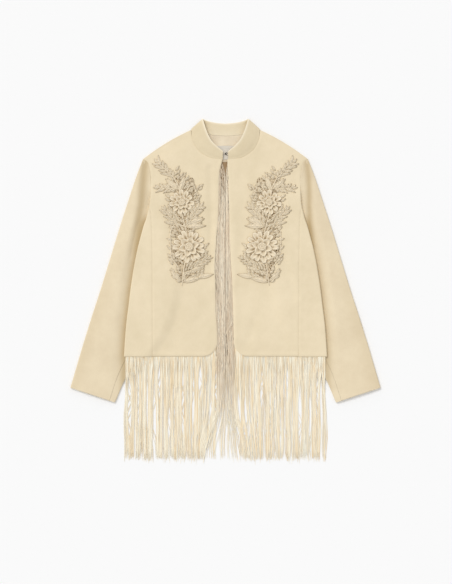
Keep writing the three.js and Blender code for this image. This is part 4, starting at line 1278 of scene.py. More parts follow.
@dataclass
class Collar:
    """The band collar: stations from a front end round to the middle of the back.

    Each station has the middle of the cloth at its neck edge and at its free edge.
    """

    fronts: dict[Side, Front]

    stations: tuple[tuple[float, ...], ...] = (
        (7, 327.8, 6.8, 6.5, 348, 9.6), (22, 330.1, 6.8, 12.5, 353, 10.6),
        (36.4, 332.5, 6.8, 19.5, 359, 11.8), (47.3, 338, 6.8, 27.5, 366.5, 12.8),
        (58.1, 343.5, 6.8, 35, 375, 13.6), (66.1, 351.4, 6.8, 41, 385, 14),
        (74, 359.3, 6.8, 45.5, 395, 13.8), (78.5, 369.8, 6.6, 49.5, 406, 13),
        (82.9, 380.2, 5.6, 52.6, 416, 11.6), (84.4, 390.8, 4.8, 54.8, 423.5, 9.8),
        (85, 398.5, 4.1, 56.2, 427.4, 7.4), (85.2, 403.2, 2.7, 56.6, 428.9, 4.6),
        (83.4, 402.6, 1.6, 54.4, 428.2, 1.6), (76, 398.9, 1.9, 48, 425.4, 1),
        (57.7, 393.4, 1.9, 36, 422, 1), (28.8, 388.4, 1.9, 18, 418.9, 1),
        (0, 386.6, 1.9, 0, 417.4, 1),
    )

    def build(self, cloth: Wardrobe) -> bpy.types.Object:
        """Lay the collar."""
        last = len(self.stations) - 1
        columns = numbered(self.stations)

        def place(u: float, v: float) -> Spot:
            """Give a place: u from the right front end round, v from the neck up."""
            across = 2 * u - 1
            s = (1 - abs(across)) * last
            bx, by, bz, tx, ty, tz = (c.at(s) for c in columns)
            side = Side.RIGHT if across < 0 else Side.LEFT
            meet = smooth((s - 0.6) / 1.2) * (1 - smooth((s - 8) / 1.6))
            fx, fy = self.fronts[side].inner_end(max(0.0, 5 - s / 2))
            bx, by = mix(bx, fx, meet), mix(by, fy, meet)
            bow = 0.9 * math.sin(math.pi * v) * (1 - smooth((s - 9) / 3))
            slope = math.hypot(tx - bx, ty - by)
            grow = 0.05 * (1 - v) / slope
            x, y = mix(bx, tx, v + grow), mix(by, ty, v + grow)
            z = mix(bz, tz, v) + bow
            if s < 11:
                low = LAY.front_under(bx, by, side) + CLOTH - 0.7
                sunk = smooth(1 - v / 0.3) * (1 - smooth((s - 8.5) / 2.5))
                z = mix(z, min(z, low), sunk)
            soft = 0.35 * ripple(x * across, y, 26, 5) * smooth(v / 0.2)
            z += soft if s < 10 else 0.0
            # Painted light: a faint dark line at the neck seam, a painted highlight
            # along the free edge, painted shade inside the fold at each side, and a
            # painted lighter tone on the back part towards the neck.
            shade = 0.03 * ridge(v * 30, 1.6) - 0.9 * ridge((1 - v) * 30, 2.8)
            shade += 0.75 * ridge(s - 12.4, 0.9) * smooth((1 - v) / 0.1)
            shade -= 0.4 * smooth((s - 13) / 2) * (1 - v)
            return math.copysign(x, across), y, z, shade

        names = ("collar_band", "collar", "band_collar")
        return Sheet(*names, (230, 18), edge=0.5, offset=0.0).lay(place, cloth.collar)


@dataclass
class NeckInside:
    """The back neck facing and the blank label sewn on it."""

    facing_level: float = 3.1
    facing_width: float = 144
    label_width: float = 55
    label_top: float = 362
    label_bottom: float = 327.5

    def build(self, cloth: Wardrobe) -> list[bpy.types.Object]:
        """Lay the facing and the label."""
        top = Table((0, 28.8, 57.7, 72), (386.3, 388.1, 393.1, 397.2))
        bottom = Table((0, 28.8, 57.7, 72), (322, 322.8, 326.5, 330))

        def facing_place(u: float, v: float) -> Spot:
            """Give a place on the facing: u across, v up."""
            x = self.facing_width * (u - 0.5)
            y = mix(bottom.at(abs(x)), top.at(abs(x)), v)
            swell = 0.2 * ripple(x, y, 30, 2)
            # Painted shade on the facing: a little all over and more towards its lower
            # edge.
            shade = 0.10 + 0.14 * smooth((335 - y) / 14)
            return x, y, self.facing_level + swell * math.sin(math.pi * v), shade

        names = ("neck_facing", "lining", "back_neck_facing")
        facing = Sheet(*names, (60, 30), thickness=0.8, edge=0.2)

        def label_place(u: float, v: float) -> Spot:
            """Give a place on the label: u across, v up."""
            x = self.label_width * (u - 0.5)
            y = mix(self.label_bottom, self.label_top, v)
            edge = min(u, 1 - u) * self.label_width
            puff = 0.35 * smooth(edge / 6) * math.sin(math.pi * v)
            return x, y, self.facing_level + 1.1 + puff, 0.0

        cut = (self.label_width * MM, (self.label_top - self.label_bottom) * MM)
        names = ("blank_neck_label", "label", "neck_label")
        label = Sheet(*names, (40, 26), thickness=0.5, edge=0.15, cut=cut)
        return [
            facing.lay(facing_place, cloth.lining),
            label.lay(label_place, cloth.label),
        ]


def tubes(
    name: str,
    lines: Sequence[Sequence[Spot]],
    thickness: float,
    sides: int,
    material: bpy.types.Material,
    spline: str = "POLY",
    flat: float = 0.0,
) -> bpy.types.Object:
    """Make threads or wires along lines.

    Args:
        name: The piece's name.
        lines: Each one's points, as x, y, z and share of the full thickness.
        thickness: The radius in millimetres.
        sides: How finely each is rounded: 0 for four sides, 1 for six.
        material: Its finish.
        spline: The kind of spline.
        flat: The height for each width of a flattened thread, or 0 for a round one.

    Returns:
        One mesh object with them all.
    """
    curve = bpy.data.curves.new(name, "CURVE")
    curve.dimensions = "3D"
    curve.bevel_depth = thickness * MM
    curve.bevel_resolution = sides
    curve.use_fill_caps = True
    curve.resolution_u = 6
    section = None
    if flat:
        shape = bpy.data.curves.new(f"{name}_section", "CURVE")
        ring = shape.splines.new("POLY")
        ring.points.add(5)
        ring.use_cyclic_u = True
        for k, point in enumerate(ring.points):
            a = math.tau * (k + 0.5) / 6
            x, y = thickness * math.sin(a), thickness * flat * math.cos(a)
            point.co = (x * MM, y * MM, 0.0, 1.0)
        section = bpy.data.objects.new(f"{name}_section", shape)
        curve.bevel_mode = "OBJECT"
        curve.bevel_object = section
        curve.twist_mode = "Z_UP"
    for line in lines:
        thread = curve.splines.new(spline)
        thread.points.add(len(line) - 1)
        places = [c for x, y, z, _ in line for c in (x * MM, y * MM, z * MM, 1.0)]
        thread.points.foreach_set("co", places)
        thread.points.foreach_set("radius", [share for *_, share in line])
        if spline == "NURBS":
            thread.order_u = 4
            thread.use_endpoint_u = True
    shaped = bpy.data.objects.new(f"{name}_lines", curve)
    here = bpy.context.scene.collection.objects
    here.link(shaped)
    if section:
        here.link(section)
    bpy.context.view_layer.update()
    graph = bpy.context.evaluated_depsgraph_get()
    mesh = bpy.data.meshes.new_from_object(shaped.evaluated_get(graph))
    bpy.data.objects.remove(shaped)
    bpy.data.curves.remove(curve)
    if section:
        bpy.data.curves.remove(section.data)
    mesh.name = name
    mesh.shade_smooth()
    mesh.materials.clear()
    mesh.materials.append(material)
    piece = bpy.data.objects.new(name, mesh)
    bpy.context.scene.collection.objects.link(piece)
    return piece


@dataclass
class Closure:
    """The hook and its eye between the collar's ends, with y from their middle."""

    y: float = 342
    wire: float = 0.7
    hook: tuple[tuple[float, float, float], ...] = (
        (-13, 0, 6.1), (-8, 0, 6.3), (-4, 0, 7.8), (0.2, 0, 8.7), (2.4, 0, 7.2),
        (0.6, 0, 5.6), (-2.4, 0, 5.5),
    )
    eye: tuple[tuple[float, float, float], ...] = (
        (12, -2.6, 6.2), (4, -2.6, 6.9), (0.2, -2.08, 6.9), (-0.6, 0, 6.9),
        (0.2, 2.08, 6.9), (4, 2.6, 6.9), (12, 2.6, 6.2),
    )

    def build(self, cloth: Wardrobe) -> None:
        """Bend both wires."""
        for node, path in (("hook", self.hook), ("eye", self.eye)):
            line = [(x, self.y + y, z, 1.0) for x, y, z in path]
            piece = tubes(f"{node}_wire", [line], self.wire, 2, cloth.wire, "NURBS")
            dress(piece, "wire", node)


def disc(bm: bmesh.types.BMesh, segments: int, radius: float) -> list:
    """Add a flat round of triangles and give its points."""
    made = bmesh.ops.create_circle(
        bm, cap_ends=True, cap_tris=True, segments=segments, radius=radius
    )
    return made["verts"]


@dataclass(frozen=True)
class Flower:
    """A raised lace flower: its middle, radius, petals and how high it stands."""

    x: float
    y: float
    radius: float
    petals: int
    heart: float
    rise: float
    turn: float = 0.35


@dataclass(frozen=True)
class Leaf:
    """A leaf from its stalk to its tip."""

    x: float
    y: float
    tip_x: float
    tip_y: float
    width: float


@dataclass(frozen=True)
class Spray:
    """Small leaves along a stalk."""

    x: float
    y: float
    tip_x: float
    tip_y: float
    leaves: int
    length: float


@dataclass
class LaceApplique:
    """Raised flower and leaf lace on one front, placed by distances from the middle."""

    side: Side
    front: Front
    flowers: tuple[Flower, ...] = (
        Flower(109, 221, 31, 11, 8.5, 5.0),
        Flower(91, 110, 41, 14, 10.5, 5.6),
        Flower(83, 266, 16, 6, 4.5, 3.6),
        Flower(118, 55, 14, 6, 4.2, 3.4),
        Flower(70, 241, 11, 6, 3.4, 3.0),
        Flower(137, 118, 9, 5, 2.8, 2.8),
        Flower(134, 92, 8, 5, 2.6, 2.6),
        Flower(131, 141, 8, 5, 2.6, 2.6),
    )
    leaves: tuple[Leaf, ...] = (
        Leaf(114, 247, 101, 288, 13),
        Leaf(117, 253, 150, 279, 14),
        Leaf(100, 160, 48, 162, 13),
        Leaf(96, 166, 52, 180, 15),
        Leaf(108, 22, 60, 33, 13),
        Leaf(72, 33, 29, 41, 12),
        Leaf(109, 22, 139, 52, 11),
        Leaf(124, 166, 153, 172, 9),
        Leaf(84, 51, 55, 60, 9),
    )
    sprays: tuple[Spray, ...] = (
        Spray(128, 281, 177, 328, 9, 19),
        Spray(116, 254, 176, 257, 7, 17),
        Spray(123, 166, 158, 208, 7, 16),
        Spray(99, 160, 57, 218, 7, 20),
        Spray(84, 51, 37, 88, 7, 15),
    )
    stalks: tuple[tuple[Place, ...], ...] = (
        (
            (129, 282), (115, 253), (108, 188), (100, 158), (93, 111), (103, 60),
            (109, 14),
        ),
        ((100, 160), (124, 166), (138, 140), (136, 90), (116, 56)),
        ((72, 243), (83, 266), (112, 221)),
        ((106, 36), (83, 52)),
    )
    band: tuple[tuple[float, float, float], ...] = (
        (16, 98, 112), (27, 62, 122), (52, 58, 132), (77, 52, 136), (102, 50, 138),
        (127, 56, 138), (147, 78, 136), (164, 70, 140), (189, 72, 138), (214, 76, 140),
        (239, 62, 136), (258, 66, 140), (272, 80, 134), (290, 118, 140),
        (300, 126, 144),
    )
    grounds: tuple[tuple[float, float, float], ...] = (
        (106, 186, 15), (112, 252, 12), (96, 250, 10), (112, 158, 14), (121, 142, 12),
        (124, 92, 12), (100, 66, 12), (112, 40, 10), (98, 32, 8), (88, 62, 9),
    )

    def _spot(self, x: float, y: float, lift: float) -> Vector:
        """Give a place on the lace in metres, at a height above the cloth."""
        z = self.front.top(x, y) + SEAM + lift
        return Vector((self.side.value * x, y, z)) * MM

    def _blade(
        self,
        bm: bmesh.types.BMesh,
        root: Place,
        tip: Place,
        outline: Callable[[float], float],
        height: Callable[[float, float], float],
        grid: tuple[int, int],
        crest: float,
    ) -> None:
        """Add one petal or leaf: a grid from root to tip, with its edge pulled down.

        Args:
            bm: The lace.
            root: Where it starts, in plan.
            tip: Where it ends.
            outline: Half its width for a share along it.
            height: Its height for a share along it and one across it, from -1 to 1.
            grid: Its steps across and along.
            crest: The height that counts as fully light.
        """
        shade = bm.verts.layers.float["shade"]
        (ax, ay), (bx, by) = root, tip
        length = math.hypot(bx - ax, by - ay)
        dx, dy = (bx - ax) / length, (by - ay) / length
        made = bmesh.ops.create_grid(
            bm, x_segments=grid[0], y_segments=grid[1], size=0.5
        )["verts"]
        for vert in made:
            across, along = 2 * vert.co.x, vert.co.y + 0.5
            out = outline(along) * across
            x = ax + dx * length * along - dy * out
            y = ay + dy * length * along + dx * out
            rim = abs(across) > 0.999 or along < 0.001 or along > 0.999
            lift = 0.1 if rim else height(along, across)
            vert.co = self._spot(x, y, lift)
            # Painted light by height: the shade attribute follows the lift, with a
            # painted dark line along the rim.
            vert[shade] = 0.26 if rim else min(1.0, lift / crest)

    def _petal(
        self,
        bm: bmesh.types.BMesh,
        middle: Place,
        angle: float,
        reach: tuple[float, float],
        width: float,
        levels: tuple[float, float],
        grid: tuple[int, int] = (10, 8),
        pointed: bool = False,
    ) -> None:
        """Add a cupped petal with a corded rim.

        Args:
            bm: The lace.
            middle: The flower's middle.
            angle: The way it points, in radians.
            reach: Its distances from the middle, where it starts and ends.
            width: Its full width.
            levels: Its height at its root and near its tip.
            grid: Its steps across and along.
            pointed: Whether it runs to a point.
        """
        near, far = reach
        cx, cy = middle
        root = (cx + near * math.cos(angle), cy + near * math.sin(angle))
        tip = (cx + far * math.cos(angle), cy + far * math.sin(angle))
        low, high = levels

        def outline(along: float) -> float:
            """Give half the width at a share along."""
            if pointed:
                return width / 2 * max(0.08, math.sin(math.pi * (0.3 + 0.7 * along)))
            grow = math.sin(math.pi * min(0.5, 0.1 + along * 0.55))
            close = math.sqrt(max(0.03, 1 - max(0.0, (along - 0.6) / 0.4) ** 2.2))
            return width / 2 * (0.2 + 0.8 * grow) * close

        def height(along: float, across: float) -> float:
            """Give the height at shares along and across."""
            body = mix(low, high, smooth(along * 1.2))
            edge = max(abs(across), 2.3 * along - 1.32)
            cup = 0.34 * high * ridge(edge - 0.76, 0.15)
            dish = -0.55 * high * ridge(across, 0.4) * (1 - 0.4 * smooth(along))
            rib = 0.16 * high * ridge(across, 0.09)
            return max(0.4, body + cup + dish + rib)

        self._blade(bm, root, tip, outline, height, grid, high * 1.25)

    def _leaf(
        self,
        bm: bmesh.types.BMesh,
        leaf: Leaf,
        rise: float,
        veins: int,
        grid: tuple[int, int],
    ) -> None:
        """Add a pointed leaf with a midrib and fine veins along it."""

        def outline(along: float) -> float:
            """Give half the width at a share along."""
            return leaf.width / 2 * max(0.06, math.sin(math.pi * along**0.85)) ** 0.8

        def height(along: float, across: float) -> float:
            """Give the height at shares along and across."""
            full = math.sin(math.pi * along) ** 0.4
            arch = rise * (1 - 0.45 * across * across) * full
            rib = 0.45 * rise * ridge(across, 0.13)
            groove = -0.3 * rise * ridge(abs(across) - 0.26, 0.09)
            fine = 0.12 * rise * math.cos(math.pi * veins * across) if veins else 0.0
            return max(0.35, arch + rib + groove + fine)

        self._blade(
            bm,
            (leaf.x, leaf.y),
            (leaf.tip_x, leaf.tip_y),
            outline,
            height,
            grid,
            rise * 1.35,
        )

    def _flower(self, bm: bmesh.types.BMesh, flower: Flower) -> None:
        """Add a flower: outer petals, an inner star, rounds of cord and a knob."""
        large = flower.radius > 20
        rings = (
            (flower.petals, 0.36, 1.0, 0.96 if large else 1.2, 0.0, 0.1, 0.56, False),
            (6, 0.2, 0.64, 1.0, 0.4, 0.5, 0.85, True),
        )
        middle = (flower.x, flower.y)
        for count, near, far, share, shift, low, high, pointed in rings:
            if not (large or near > 0.4):
                continue
            for k in range(count):
                angle = flower.turn + (k + shift) * math.tau / count
                uneven = 1 + 0.06 * math.sin(k * 2.4 + flower.x)
                angle += 0.05 * math.sin(k * 3.7 + flower.y)
                width = share * math.tau * flower.radius * far * 0.74 / count
                start = near if large else 0.2
                self._petal(
                    bm,
                    middle,
                    angle,
                    (flower.radius * start, flower.radius * far * uneven),
                    width,
                    (flower.rise * low, flower.rise * high),
                    (12, 9) if large else (8, 6),
                    pointed,
                )
        self._heart(bm, flower)

    def _heart(self, bm: bmesh.types.BMesh, flower: Flower) -> None:
        """Add the rounds of cord at a flower's middle, with a small knob."""
        shade = bm.verts.layers.float["shade"]
        count = 3 if flower.radius > 20 else 1
        made = disc(bm, 22, 1.0)
        rings = [made]
        edges = list({e for v in made for e in v.link_edges if e.is_boundary})
        for _ in range(count * 4):
            grown = bmesh.ops.extrude_edge_only(bm, edges=edges)["geom"]
            rings.append([g for g in grown if isinstance(g, bmesh.types.BMVert)])
            made = [g for g in grown if isinstance(g, bmesh.types.BMEdge)]
            edges = [edge for edge in made if edge.is_boundary]
        last = len(rings) - 1
        for k, ring in enumerate(rings):
            share = (k + 1) / (last + 1)
            radius = flower.heart * 1.15 * share
            wave = 0.5 + 0.5 * math.cos(math.tau * share * count)
            lift = flower.rise * (0.82 + 0.4 * wave) * (1 if k < last else 0.25)
            for vert in ring:
                if k == 0 and vert.co.length < 0.5:
                    x, y = flower.x, flower.y
                else:
                    a = math.atan2(vert.co.y, vert.co.x)
                    wobble = 1 + 0.06 * math.sin(5 * a + k)
                    x = flower.x + radius * wobble * math.cos(a)
                    y = flower.y + radius * wobble * math.sin(a)
                vert.co = (x, y, lift)
                # Painted shade between the heart's rounds of cord, by their height.
                vert[shade] = 0.25 + 0.75 * wave if k < last else 0.1
        for ring in rings:
            for vert in ring:
                vert.co = self._spot(vert.co.x, vert.co.y, vert.co.z)

    def _cord(self, line: Sequence[Place], lift: float) -> list[Spot]:
        """Give the points of a cord laid on the lace along a line in plan."""
        path = Line(line)
        steps = max(6, int(path.length / 3))
        points = []
        for k in range(steps + 1):
            x, y = path.at(k / steps)
            z = self.front.top(x, y) + SEAM + lift
            points.append((self.side.value * x, y, z, 1.0))
        return points

    def _fillers(self) -> list[Leaf]:
        """Give the small leaves that fill the lace between its flowers."""
        rng = random.Random(5)
        spine = x_at_y(self.stalks[0])
        near, far = by_height(self.band)
        leaves = []
        y = 20.0
        while y < 300:
            x = near.at(y) + rng.uniform(0, 4)
            while x < far.at(y):
                px, py = x + rng.uniform(-1.5, 1.5), y + rng.uniform(-2.5, 2.5)
                x += rng.uniform(7.0, 9.5)
                if any(
                    math.hypot(px - f.x, py - f.y) < f.radius * 0.86
                    for f in self.flowers
                ):
                    continue
                sign = 1 if px > spine.at(py) else -1
                way = math.pi / 2 - sign * rng.uniform(0.3, 1.3)
                reach = rng.uniform(12, 17)
                tip = (px + reach * math.cos(way), py + reach * math.sin(way))
                leaves.append(Leaf(px, py, *tip, rng.uniform(4.8, 6.4)))
            y += 7.5
        return leaves

    def _ground(self, bm: bmesh.types.BMesh) -> None:
        """Add the net ground that shows between the motifs, with painted shade in its
        holes.
        """
        shade = bm.verts.layers.float["shade"]
        rounds = [(f.x, f.y, f.radius * 0.9) for f in self.flowers[:2]]
        near, far = by_height(self.band)
        for k in range(15):
            y = mix(36, 262, k / 14)
            for share in (0.3, 0.7):
                rounds.append((mix(near.at(y), far.at(y), share), y + 7, 13))
        for x, y, radius in (*rounds, *self.grounds):
            made = disc(bm, 20, radius)
            for vert in made:
                wobble = 1 + 0.12 * math.sin(3 * math.atan2(vert.co.y, vert.co.x) + x)
                px, py = x + vert.co.x * wobble, y + vert.co.y * wobble
                vert.co = self._spot(px, py, 0.25)
                vert[shade] = 0.3
            for face in {f for v in made for f in v.link_faces}:
                face.material_index = 1

    def build(self, cloth: Wardrobe) -> bpy.types.Object:
        """Make the whole applique as one piece."""
        bm = bmesh.new()
        bm.verts.layers.float.new("shade")
        self._ground(bm)
        for flower in self.flowers:
            self._flower(bm, flower)
        for leaf in self.leaves:
            self._leaf(bm, leaf, 3.1, 6, (14, 10))
        for leaf in self._fillers():
            self._leaf(bm, leaf, 2.7, 0, (8, 6))
        cords = [self._cord(line, 0.9) for line in self.stalks]
        for spray in self.sprays:
            dx, dy = spray.tip_x - spray.x, spray.tip_y - spray.y
            turn = math.atan2(dy, dx)
            end = (spray.x + dx * 0.86, spray.y + dy * 0.86)
            cords.append(self._cord(((spray.x, spray.y), end), 0.8))
            for k in range(spray.leaves + 5):
                last = k == spray.leaves + 4
                share = 0.8 if last else 0.04 + 0.8 * k / (spray.leaves + 4)
                lean = 0.62 + 0.16 * math.sin(k * 2.1 + spray.x)
                way = turn + (0 if last else (1 if k % 2 == 0 else -1) * lean)
                reach = math.hypot(dx, dy) * 0.22 if last else spray.length
                reach *= 1.1 + 0.16 * math.sin(k * 3.3 + spray.y)
                x, y = spray.x + dx * share, spray.y + dy * share
                tip = (x + reach * math.cos(way), y + reach * math.sin(way))
                leaf = Leaf(x, y, *tip, spray.length * 0.37)
                self._leaf(bm, leaf, 2.8, 0, (8, 7))
        self._add_cords(bm, cords, cloth)
        settle(bm, Vector((0, 0, 1)))
        piece = to_object(
            f"lace_applique_{self.side.word}", bm, cloth.lace, cloth.ground
        )
        solid = piece.modifiers.new("thickness", "SOLIDIFY")
        solid.thickness = 0.25 * MM
        solid.offset = -1
        return dress(piece, "lace", f"applique_{self.side.word}")

    def _add_cords(
        self,
        bm: bmesh.types.BMesh,
        cords: Sequence[Sequence[Spot]],
        cloth: Wardrobe,
    ) -> None:
        """Add the stalks' cords to the lace."""
        shaped = tubes(f"stalks_{self.side.word}", cords, 1.25, 1, cloth.lace)
        start = len(bm.verts)
        bm.from_mesh(shaped.data)
        bm.verts.ensure_lookup_table()
        shade = bm.verts.layers.float["shade"]
        for vert in bm.verts[start:]:
            vert[shade] = 0.75
        bpy.data.meshes.remove(shaped.data)


@dataclass
class Fringe:
    """Soft thread fringe on narrow tapes, in clumps with gaps and uneven ends.

    Pairs of numbers are the least and the most that a random draw gives, apart from
    the edges' counts, which are the right one's and the left one's.
    """

    end_y: float = -418.0
    thread: float = 0.56
    flat: float = 0.5
    seed: int = 11
    back_threads: int = 430
    hem_threads: int = 205
    corner_threads: int = 44
    edge_threads: tuple[int, int] = (150, 120)
    half_hem: float = 250
    jitter: tuple[float, float] = (-0.4, 0.4)
    steps: int = 11
    edge_steps: int = 22
    edge_top: float = 323
    clump_steps: tuple[float, float] = (6, 30)
    gap_steps: tuple[float, float] = (11, 34)
    gap_middles: tuple[float, float] = (-345, -225)
    gap_reaches: tuple[float, float] = (45, 120)
    gap_widths: tuple[float, float] = (1.2, 4.6)
    gap_top: float = -182
    gap_softness: float = 6.5
    spread_top: float = -256
    spread_drop: float = 172
    sleeve_from: float = 212
    sleeve_top: float = 5.7

    def __post_init__(self) -> None:
        """Set out the clumps that the threads gather in and the gaps between them."""
        self.rng = random.Random(self.seed)
        self.clumps = {}
        self.gaps = []
        x = -240.0
        while x < 240:
            middle = self.rng.uniform(*self.gap_middles)
            reach = min(self.rng.uniform(*self.gap_reaches), self.gap_top - middle)
            self.gaps.append((x, middle, reach, self.rng.uniform(*self.gap_widths)))
            x += self.rng.uniform(*self.gap_steps)
        for layer in ("back", "front"):
            x, places = -262.0, []
            while x < 262:
                places.append(x)
                x += self.rng.uniform(*self.clump_steps)
            self.clumps[layer] = places
        below = [(x, y) for x, y in SLEEVE_INNER if y < -100]
        self.off_sleeve = Table([x for x, _ in below], [y for _, y in below])

    def _spread(self, y: float) -> float:
        """Give how far the swept threads have spread at a height, from 0 to 1."""
        return smooth((self.spread_top - y) / self.spread_drop) ** 1.4

    def _parted(self, x: float, y: float) -> float:
        """Give how far a thread keeps aside from the gaps near it."""
        push = 0.0
        for place, middle, reach, width in self.gaps:
            near = (x - place) / self.gap_softness
            if abs(near) < 3:
                along = max(0.0, 1 - ((y - middle) / reach) ** 2)
                push += math.copysign(width, near) * along * math.exp(-near * near)
        return push

    def _hang(
        self, x: float, y: float, z: float, layer: str, level: float, sweep: float
    ) -> list[Spot]:
        """Give the points of a thread from its root to its end.

        Args:
            x: The root's x.
            y: The root's y.
            z: The root's height.
            layer: Which set of clumps it gathers in.
            level: The height where it lies on the surface.
            sweep: How far its end is swept sideways.

        Returns:
            Its points.
        """
        rng = self.rng
        clump = min(self.clumps[layer], key=lambda c: abs(c - x))
        pull = rng.uniform(0.0, 0.62)
        end = self.end_y + rng.gauss(0, 5.0) + 5 * ripple(x, 0, 26, 1)
        kind = 1.0 if layer == "back" else 2.0
        loose = rng.uniform(-2.4, 2.4)
        side = abs(x)
        over = side > self.sleeve_from
        off = min(-170.0, self.off_sleeve.at(side)) if over else y
        on_sleeve = self.sleeve_top + level * 0.5
        points = []
        for k in range(self.steps + 1):
            share = k / self.steps
            py = mix(y, end, share)
            drift = (clump - x) * pull * smooth(share * 1.9)
            drift += 4.2 * ripple(x, py, 70, kind) * smooth(share * 3)
            drift += loose * smooth(share * 2)
            drift += 1.1 * ripple(x * 3.1, py, 34, kind + 5) * smooth(share * 4)
            drift += sweep * self._spread(py) + self._parted(x + drift, py)
            if over and py > off:
                pz = mix(z, on_sleeve, smooth(share * 6))
            elif over:
                pz = mix(on_sleeve, level, smooth((off - py) / 34))
            else:
                pz = mix(z, level, smooth((y - py) / 34))
            points.append((x + drift, py, pz, 1.0 if k < self.steps else 0.4))
        return points

    @staticmethod
    def _tape(name: str, line: Sequence[Spot]) -> bpy.types.Mesh:
        """Make a fringe's heading: a narrow woven tape along a line, 3 mm deep.

        Args:
            name: The mesh's name.
            line: Its points: x, y, z at the upper edge and the way down as an angle.

        Returns:
            The mesh.
        """
        bm = bmesh.new()
        verts = [bm.verts.new(Vector((x, y, z)) * MM) for x, y, z, _ in line]
        edges = [bm.edges.new(pair) for pair in zip(verts, verts[1:])]
        made = bmesh.ops.extrude_edge_only(bm, edges=edges)["geom"]
        lower = [g for g in made if isinstance(g, bmesh.types.BMVert)]
        for vert, (x, y, z, way) in zip(lower, line):
            lower_x, lower_y = x + 2.8 * math.cos(way), y + 2.8 * math.sin(way)
            vert.co = Vector((lower_x, lower_y, z)) * MM
        settle(bm, Vector((0, 0, 1)))
        bmesh.ops.solidify(bm, geom=bm.faces[:], thickness=0.7 * MM)
        mesh = bpy.data.meshes.new(name)
        bm.to_mesh(mesh)
        bm.free()
        return mesh

    def _make(
        self,
        name: str,
        threads: Sequence[Sequence[Spot]],
        tape: bpy.types.Mesh,
        material: bpy.types.Material,
        node: str,
    ) -> bpy.types.Object:
        """Join the threads and their tape into one piece."""
        piece = tubes(name, threads, self.thread, 0, material, flat=self.flat)
        bm = bmesh.new()
        bm.from_mesh(piece.data)
        bm.from_mesh(tape)
        bpy.data.meshes.remove(tape)
        bm.to_mesh(piece.data)
        bm.free()
        piece.data.shade_smooth()
        return dress(piece, "thread", node)

    def back(self, cloth: Wardrobe) -> bpy.types.Object:
        """Make the fringe under the back's hem."""
        rng = self.rng
        threads = []
        for k in range(self.back_threads):
            x = mix(-self.half_hem, self.half_hem, k / (self.back_threads - 1))
            x += rng.uniform(*self.jitter)
            z = LAY.back_under(x, HEM_Y) + 0.6
            thin = abs(x) < 22 and rng.random() < 0.45
            if thin:
                continue
            level = rng.uniform(0.34, 0.52)
            threads.append(self._hang(x, HEM_Y - 2, z, "back", level, 0.0))
        line = [
            (x, HEM_Y - SEAM, LAY.back_under(x, HEM_Y) + 0.5, -math.pi / 2)
            for x in [mix(-self.half_hem, self.half_hem, k / 60) for k in range(61)]
        ]
        tape = self._tape("back_tape", line)
        return self._make(
            "hem_fringe_back", threads, tape, cloth.thread, "fringe_hem_back"
        )

    def front(self, side: Side, cloth: Wardrobe) -> bpy.types.Object:
        """Make the fringe inside one front's hem and lower corner."""
        rng = self.rng
        sign = side.value
        threads, line = [], []

        def under(x: float, y: float) -> float:
            """Give the height of a thread's root under the front."""
            return LAY.front_under(x, y, side) - 0.35

        for k in range(self.corner_threads):
            degrees = mix(4, 88, k / (self.corner_threads - 1))
            x, y = LAY.corner(degrees, side, CORNER - 1.5)
            sweep = sign * (8 + 24 * ridge(x - 20, 34)) * rng.uniform(0.8, 1.2)
            level = rng.uniform(0.78, 1.3)
            root = (sign * x, y, under(x, y))
            threads.append(self._hang(*root, "front", level, sweep))
            if k % 4 == 0:
                far = LAY.corner(degrees, side, CORNER - 4.5)
                way = math.atan2(y - far[1], sign * (x - far[0]))
                line.append((sign * far[0], far[1], under(*far) + 0.4, way))
        start = LAY.corner(90, side)[0]
        for k in range(self.hem_threads):
            x = mix(start, self.half_hem - 1.5, k / (self.hem_threads - 1))
            x += rng.uniform(*self.jitter)
            sweep = sign * (26 * ridge(x - 20, 52)) * rng.uniform(0.7, 1.15)
            level = rng.uniform(0.72, 1.15)
            z = under(x, HEM_Y)
            root = (sign * x, HEM_Y + 1.5, z)
            threads.append(self._hang(*root, "front", level, sweep))
            if k % 5 == 0:
                line.append((sign * x, HEM_Y + 4.5, z + 0.4, -math.pi / 2))
        tape = self._tape(f"front_tape_{side.word}", line)
        return self._make(
            f"hem_fringe_front_{side.word}",
            threads,
            tape,
            cloth.thread,
            f"fringe_hem_front_{side.word}",
        )

    def edge(self, side: Side, cloth: Wardrobe) -> bpy.types.Object:
        """Make the fringe that hangs from inside one front edge, over the middle."""
        rng = self.rng
        sign = side.value
        count = self.edge_threads[side is Side.LEFT]
        edge = LAY.edges[side]
        threads, line = [], []
        for k in range(count):
            place = k / (count - 1)
            y = mix(self.edge_top, CORNER_Y, place**1.12)
            x0 = edge.at(y) + 1.5
            lane = rng.uniform(0.03, 0.97)
            length = rng.gauss(228, 9) + 66 * smooth((place - 0.7) / 0.3)
            level = rng.uniform(3.6, 6.6)
            z0 = LAY.front_under(x0, y, side) - 0.8
            points = [(sign * x0, y, z0, 1.0)]
            wave = rng.uniform(0, 40)
            inward = mix(13, 8, smooth(place * 6))
            flare = mix(24, 38, lane) if sign < 0 else mix(6, 36, lane)
            flare *= rng.uniform(0.8, 1.15)
            for step in range(1, self.edge_steps + 1):
                share = step / self.edge_steps
                py = y - 7 - (length - 7) * share
                wide = edge.at(py) + 3.0 * smooth((CORNER_Y - py) / 60)
                x = mix(x0, wide * lane, smooth(share * inward))
                x += 2.3 * ripple(x * 2 + wave, py, 46, 9 + sign) * smooth(share * 3)
                x += 1.3 * ripple(wave * 3, py, 13, 4 + sign) * smooth(share * 3)
                x = max(0.8, x) + flare * self._spread(py)
                z = mix(z0, level, smooth(share * inward))
                z = mix(z, level * 0.35, smooth((-170 - py) / 90))
                middle = 2.4 * ripple(0, py, 48, 3) * smooth((300 - py) / 60)
                middle *= 1 - min(1.0, max(0.0, x / wide))
                width = 1.0 if step < self.edge_steps else 0.4
                points.append((sign * x + middle, py, z, width))
            threads.append(points)
            if k % 6 == 0 or k == count - 1:
